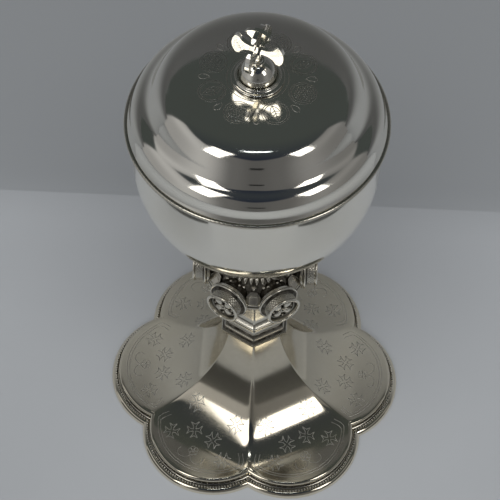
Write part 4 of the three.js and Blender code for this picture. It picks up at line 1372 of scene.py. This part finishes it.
class CIBORIUM_OT_finial(bpy.types.Operator):
    """Turn the ball and its collar and cut the cross"""

    bl_idname = "ciborium.finial"
    bl_label = "Finial"

    def execute(self, context):
        finishes, sizes, _ = looks(context)
        bright = finish_named("finial silver", finishes)
        collar = Shape()
        base = BALL_BASE
        profile = joined_path(
            (7.7, base), (10.3, base), arc(10.1, base + 0.4, 0.4, -60, 80, 5),
            bezier((9.9, base + 0.8), (9.1, base + 0.75), (8.9, base + 1.0), (8.75, base + 1.35), 5),
            arc(8.2, base + 1.35, 0.45, 0, 150, 6), (7.7, base + 1.3))
        collar.loft(turned_rings(profile, 128), closed=True, tarnish_and_shade=0.08)
        make_piece("finial_step_ring", collar, bright, "lid", ("finial_collar",),
                   crease=40)

        orb = Shape()
        low = -math.degrees(math.asin((BALL_CENTRE - BALL_BASE) / BALL_RADIUS))
        high = math.degrees(math.acos(STUD_BORE / BALL_RADIUS))
        profile = joined_path((STUD_BORE, BALL_BASE), arc(0, BALL_CENTRE, BALL_RADIUS, low, high, 48))
        orb.loft(turned_rings(profile, 128), closed=True)
        top = BALL_CENTRE + BALL_RADIUS
        socket = joined_path(
            (1.3, top - 0.3), (2.6, top - 0.25), (2.75, top + 0.05), (2.5, top + 0.35), (1.9, top + 0.45),
            (1.7, top + 0.8), (1.3, top + 0.85))
        orb.loft(turned_rings(socket, 48), closed=True, tarnish_and_shade=0.1)
        make_piece("finial_orb", orb, bright, "lid", ("finial_ball",), crease=40)

        mesh = bpy.data.meshes.new("finial_cross_plates")
        work = bmesh.new()
        thickness = sizes.plate_thickness / MM
        for turn in (0.0, math.pi / 2):
            add_plate(work, LID_TURN + turn, thickness)
        bmesh.ops.triangulate(work, faces=[f for f in work.faces if len(f.verts) > 4])
        bmesh.ops.recalc_face_normals(work, faces=work.faces)
        work.to_mesh(mesh)
        work.free()
        mesh.shade_smooth()
        mesh.set_sharp_from_angle(angle=math.radians(40))
        mesh.attributes.new("tarnish_and_shade", "FLOAT", "POINT")
        mesh.materials.append(bright)
        cross = bpy.data.objects.new("finial_cross_plates", mesh)
        context.scene.collection.objects.link(cross)
        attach(cross, "lid")
        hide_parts("finial_cross")
        return {"FINISHED"}


class CIBORIUM_OT_fixings(bpy.types.Operator):
    """Give the rods, washers and nuts their brass"""

    bl_idname = "ciborium.fixings"
    bl_label = "Rods, washers and nuts"

    def execute(self, context):
        finishes, _, _ = looks(context)
        brass = finish_named("turned brass", finishes)
        for name in ("tie_rod", "tie_washer", "tie_nut", "finial_stud", "finial_washer", "finial_nut"):
            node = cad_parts[name]
            node.data.materials.clear()
            node.data.materials.append(brass)
        return {"FINISHED"}


# Stage: sheets and lamps, in metres
TABLE_REACH = 1.3
CHANGE_BEFORE = 0.022
CHANGE_BEHIND = 0.018
CARD_REACH = 1.0
HOOD_LEFT = (-0.06, -0.87)
HOOD_RIGHT = (0.13, -0.87)
HOOD_HEIGHTS = (0.35, 0.43)
WINDOW_DISTANCE = 0.9
LAMP_AIM = Vector((0, 0, 0.12))
SCREEN_HEIGHT = 0.085
SCREEN_OUTER = (0.20, -0.03)
SCREEN_INNER = (0.12, -0.17)

# Levels of the pale screens from the left round the front to the right, as (share of the way, level)
SCREEN_LEVELS = (
    (0.0, 0.30), (0.12, 0.42), (0.34, 0.12), (0.5, 0.09), (0.70, 0.11), (0.9, 0.22), (1.0, 0.16))
CEILING_FRONT = (0.010, 0.014, 0.030, 1)
CEILING_BACK = (0.052, 0.060, 0.058, 1)
FAR_WALL = (0.26, 0.27, 0.285, 1)

# Camera, in metres, with its lens in millimetres
CAMERA_AZIMUTH = math.radians(2.33)
CAMERA_ELEVATION = math.radians(56.38)
CAMERA_ROLL = math.radians(0.70)
CAMERA_DISTANCE = 0.7601
CAMERA_AIM = Vector((0, 0, 0.09109))
CAMERA_LENS = 121.34
CAMERA_SHIFT = (-0.01096, 0.0514)


def graded_paper(name, colour, axis, start, end, share):
    """Matt paper, very slightly mottled, that passes into a share of its tone along one axis."""
    material, tree, shader, place = new_material(name)
    mottle = noise(tree, place, scale=7.0, detail=3.0, roughness=0.55)
    tone = blended(tree, mottle, toned(colour, 0.95), toned(colour, 1.05))
    split = add_node(tree, "ShaderNodeSeparateXYZ", Vector=place)
    fade = ranged(tree, split.outputs[axis], start, end, soft=True)
    feed(tree, shader.inputs["Base Color"], blended(tree, fade, tone, toned(colour, share)))
    feed(tree, shader.inputs["Roughness"], 0.55)
    return material


def flat_sheet(name, corners, material):
    """A stage sheet between four corners."""
    mesh = bpy.data.meshes.new(name)
    mesh.from_pydata(corners, [], [(0, 1, 2, 3)])
    mesh.materials.append(material)
    sheet = bpy.data.objects.new(name, mesh)
    bpy.context.scene.collection.objects.link(sheet)
    return sheet


def reflected_card(name, start, end, bottom, top, material):
    """An upright sheet between two places in plan, which shows in the silver only."""
    card = flat_sheet(name, [(*start, bottom), (*end, bottom), (*end, top), (*start, top)], material)
    card.visible_camera = False
    card.visible_shadow = False


def soft_light(name, azimuth, elevation, distance, width, height, radiance, colour):
    """A rectangular lamp that faces the object from a direction."""
    lamp = bpy.data.lights.new(name, "AREA")
    lamp.shape = "RECTANGLE"
    lamp.size = width
    lamp.size_y = height
    lamp.energy = radiance * math.pi * width * height
    lamp.color = colour
    holder = bpy.data.objects.new(name, lamp)
    bpy.context.scene.collection.objects.link(holder)
    a, e = math.radians(azimuth), math.radians(elevation)
    away = Vector((math.cos(a) * math.cos(e), math.sin(a) * math.cos(e), math.sin(e)))
    holder.location = LAMP_AIM + away * distance
    holder.rotation_euler = away.to_track_quat("Z", "Y").to_euler()
    holder.visible_camera = False
    return holder


def room_light():
    """The room as the silver sees it: pale in front up to a soft edge, dark above, a grey wall behind."""
    world = bpy.data.worlds.new("dim room")
    bpy.context.scene.world = world
    world.use_nodes = True
    tree = world.node_tree
    tree.nodes.clear()
    place = tree.nodes.new("ShaderNodeTexCoord")
    split = add_node(tree, "ShaderNodeSeparateXYZ", Vector=place.outputs["Generated"])
    x, y, z = split.outputs

    rise_to_sides = 0.18
    above_edge = worked_out(tree, "MULTIPLY_ADD", worked_out(tree, "ABSOLUTE", x), -rise_to_sides, z)
    low = ranged(tree, above_edge, 0.72, 0.65, soft=True)
    front = ranged(tree, y, 0.20, 0.15, soft=True)
    pale = worked_out(tree, "MULTIPLY", low, front)
    screens = add_node(tree, "ShaderNodeValToRGB", Fac=ranged(tree, x, -1.0, 1.0))
    screens.color_ramp.interpolation = "EASE"
    stops = screens.color_ramp.elements
    stops.remove(stops[1])
    for spot, level in SCREEN_LEVELS:
        stop = stops.new(spot) if spot else stops[0]
        stop.color = (level, level, level * 1.01, 1)

    ceiling = blended(tree, ranged(tree, y, -0.9, 0.3), CEILING_FRONT, CEILING_BACK)
    under_ceiling = ranged(tree, z, 0.60, 0.40, soft=True)
    behind = ranged(tree, y, 0.45, 0.65, soft=True)
    wall = worked_out(tree, "MULTIPLY", under_ceiling, behind)
    backed = blended(tree, wall, ceiling, FAR_WALL)
    room = blended(tree, pale, backed, screens.outputs["Color"])
    glow = add_node(tree, "ShaderNodeBackground", Color=room)
    add_node(tree, "ShaderNodeOutputWorld", Surface=glow.outputs["Background"])


def add_camera():
    """Look down at the cup from a little to the right of its front."""
    camera = bpy.data.objects.new("camera", bpy.data.cameras.new("camera"))
    bpy.context.scene.collection.objects.link(camera)
    level = math.cos(CAMERA_ELEVATION)
    back = Vector((
        math.sin(CAMERA_AZIMUTH) * level, -math.cos(CAMERA_AZIMUTH) * level, math.sin(CAMERA_ELEVATION)))
    camera.matrix_world = (
        Matrix.Translation(CAMERA_AIM + back * CAMERA_DISTANCE)
        @ back.to_track_quat("Z", "Y").to_matrix().to_4x4()
        @ Matrix.Rotation(CAMERA_ROLL, 4, "Z"))
    camera.data.sensor_width = 36.0
    camera.data.lens = CAMERA_LENS
    camera.data.shift_x, camera.data.shift_y = CAMERA_SHIFT
    camera.data.clip_start = 0.01
    bpy.context.scene.camera = camera


class CIBORIUM_OT_stage(bpy.types.Operator):
    """Lay the paper, stand the cards, hang the lights and place the camera"""

    bl_idname = "ciborium.stage"
    bl_label = "Stage"

    def execute(self, context):
        _, _, stage = looks(context)
        paper, join = tuple(stage.table), stage.paper_join
        table = [(TABLE_REACH * x, TABLE_REACH * y, 0) for x, y in ((-1, -1), (1, -1), (1, 1), (-1, 1))]
        # The table is coloured darker behind the join
        darker_behind = graded_paper(
            "table paper", paper, "Y", join - CHANGE_BEFORE, join + CHANGE_BEHIND, 0.86)
        flat_sheet("table_paper", table, darker_behind)
        # The card's paper is painted darker towards its top, as the light falling off higher up
        reflected_card("back_card", (-CARD_REACH, join), (CARD_REACH, join), 0, stage.card_height,
                       graded_paper("card paper with painted falloff", paper, "Z", 0.12, 0.30, 0.2))
        reflected_card("lens_hood", HOOD_LEFT, HOOD_RIGHT, *HOOD_HEIGHTS,
                       graded_paper("black felt", (0.02, 0.02, 0.02), "Z", 0.3, 0.5, 1.0))
        felt = graded_paper("grey felt", (0.14, 0.14, 0.135), "Z", 0.0, SCREEN_HEIGHT, 1.7)
        left = [(-x, y) for x, y in (SCREEN_OUTER, SCREEN_INNER)]
        reflected_card("low_screen_left", *left, 0, SCREEN_HEIGHT, felt)
        reflected_card("low_screen_right", SCREEN_INNER, SCREEN_OUTER, 0, SCREEN_HEIGHT, felt)

        soft_light("left window", azimuth=-133, elevation=47, distance=WINDOW_DISTANCE,
                   width=0.24, height=0.50, radiance=stage.window_light, colour=(1.0, 0.985, 0.955))
        soft_light("right window", azimuth=-37, elevation=44, distance=WINDOW_DISTANCE,
                   width=0.22, height=0.34, radiance=stage.window_light * 1.5, colour=(1.0, 0.99, 0.97))
        soft_light("strip", azimuth=-88, elevation=80, distance=WINDOW_DISTANCE,
                   width=0.20, height=0.018, radiance=stage.window_light * 4, colour=(0.86, 0.93, 1.0))
        ceiling = soft_light("ceiling bounce", azimuth=-90, elevation=62, distance=1.6,
                             width=1.4, height=1.4, radiance=stage.ceiling_light, colour=(1.0, 1.0, 1.0))
        ceiling.visible_glossy = False
        room_light()
        context.scene.view_settings.view_transform = "Standard"
        add_camera()
        return {"FINISHED"}


class CIBORIUM_PT_panel(bpy.types.Panel):
    """Lists the pieces in the order in which they are made"""

    bl_idname = "CIBORIUM_PT_panel"
    bl_label = "Silver ciborium"
    bl_space_type = "VIEW_3D"
    bl_region_type = "UI"
    bl_category = "Ciborium"

    def draw(self, context):
        layout = self.layout
        for group in looks(context):
            box = layout.box()
            for key in group.bl_rna.properties.keys():
                if key not in ("rna_type", "name"):
                    box.prop(group, key)
        for operator in PIECES:
            layout.operator(operator.bl_idname)


GROUPS = (CiboriumFinishes, CiboriumSizes, CiboriumStage)
PIECES = (
    CIBORIUM_OT_foot_shell,
    CIBORIUM_OT_foot_edge,
    CIBORIUM_OT_foot_engraving,
    CIBORIUM_OT_stem,
    CIBORIUM_OT_knop,
    CIBORIUM_OT_bosses,
    CIBORIUM_OT_bowl,
    CIBORIUM_OT_lid,
    CIBORIUM_OT_lid_engraving,
    CIBORIUM_OT_finial,
    CIBORIUM_OT_fixings,
    CIBORIUM_OT_stage,
)


def register():
    for item in (*GROUPS, *PIECES, CIBORIUM_PT_panel):
        bpy.utils.register_class(item)
    bpy.types.Scene.ciborium_finishes = PointerProperty(type=CiboriumFinishes)
    bpy.types.Scene.ciborium_sizes = PointerProperty(type=CiboriumSizes)
    bpy.types.Scene.ciborium_stage = PointerProperty(type=CiboriumStage)


def unregister():
    del bpy.types.Scene.ciborium_stage
    del bpy.types.Scene.ciborium_sizes
    del bpy.types.Scene.ciborium_finishes
    for item in reversed((*GROUPS, *PIECES, CIBORIUM_PT_panel)):
        bpy.utils.unregister_class(item)


def main():
    register()
    for operator in PIECES:
        group, action = operator.bl_idname.split(".")
        getattr(getattr(bpy.ops, group), action)()


if __name__ == "__main__":
    main()
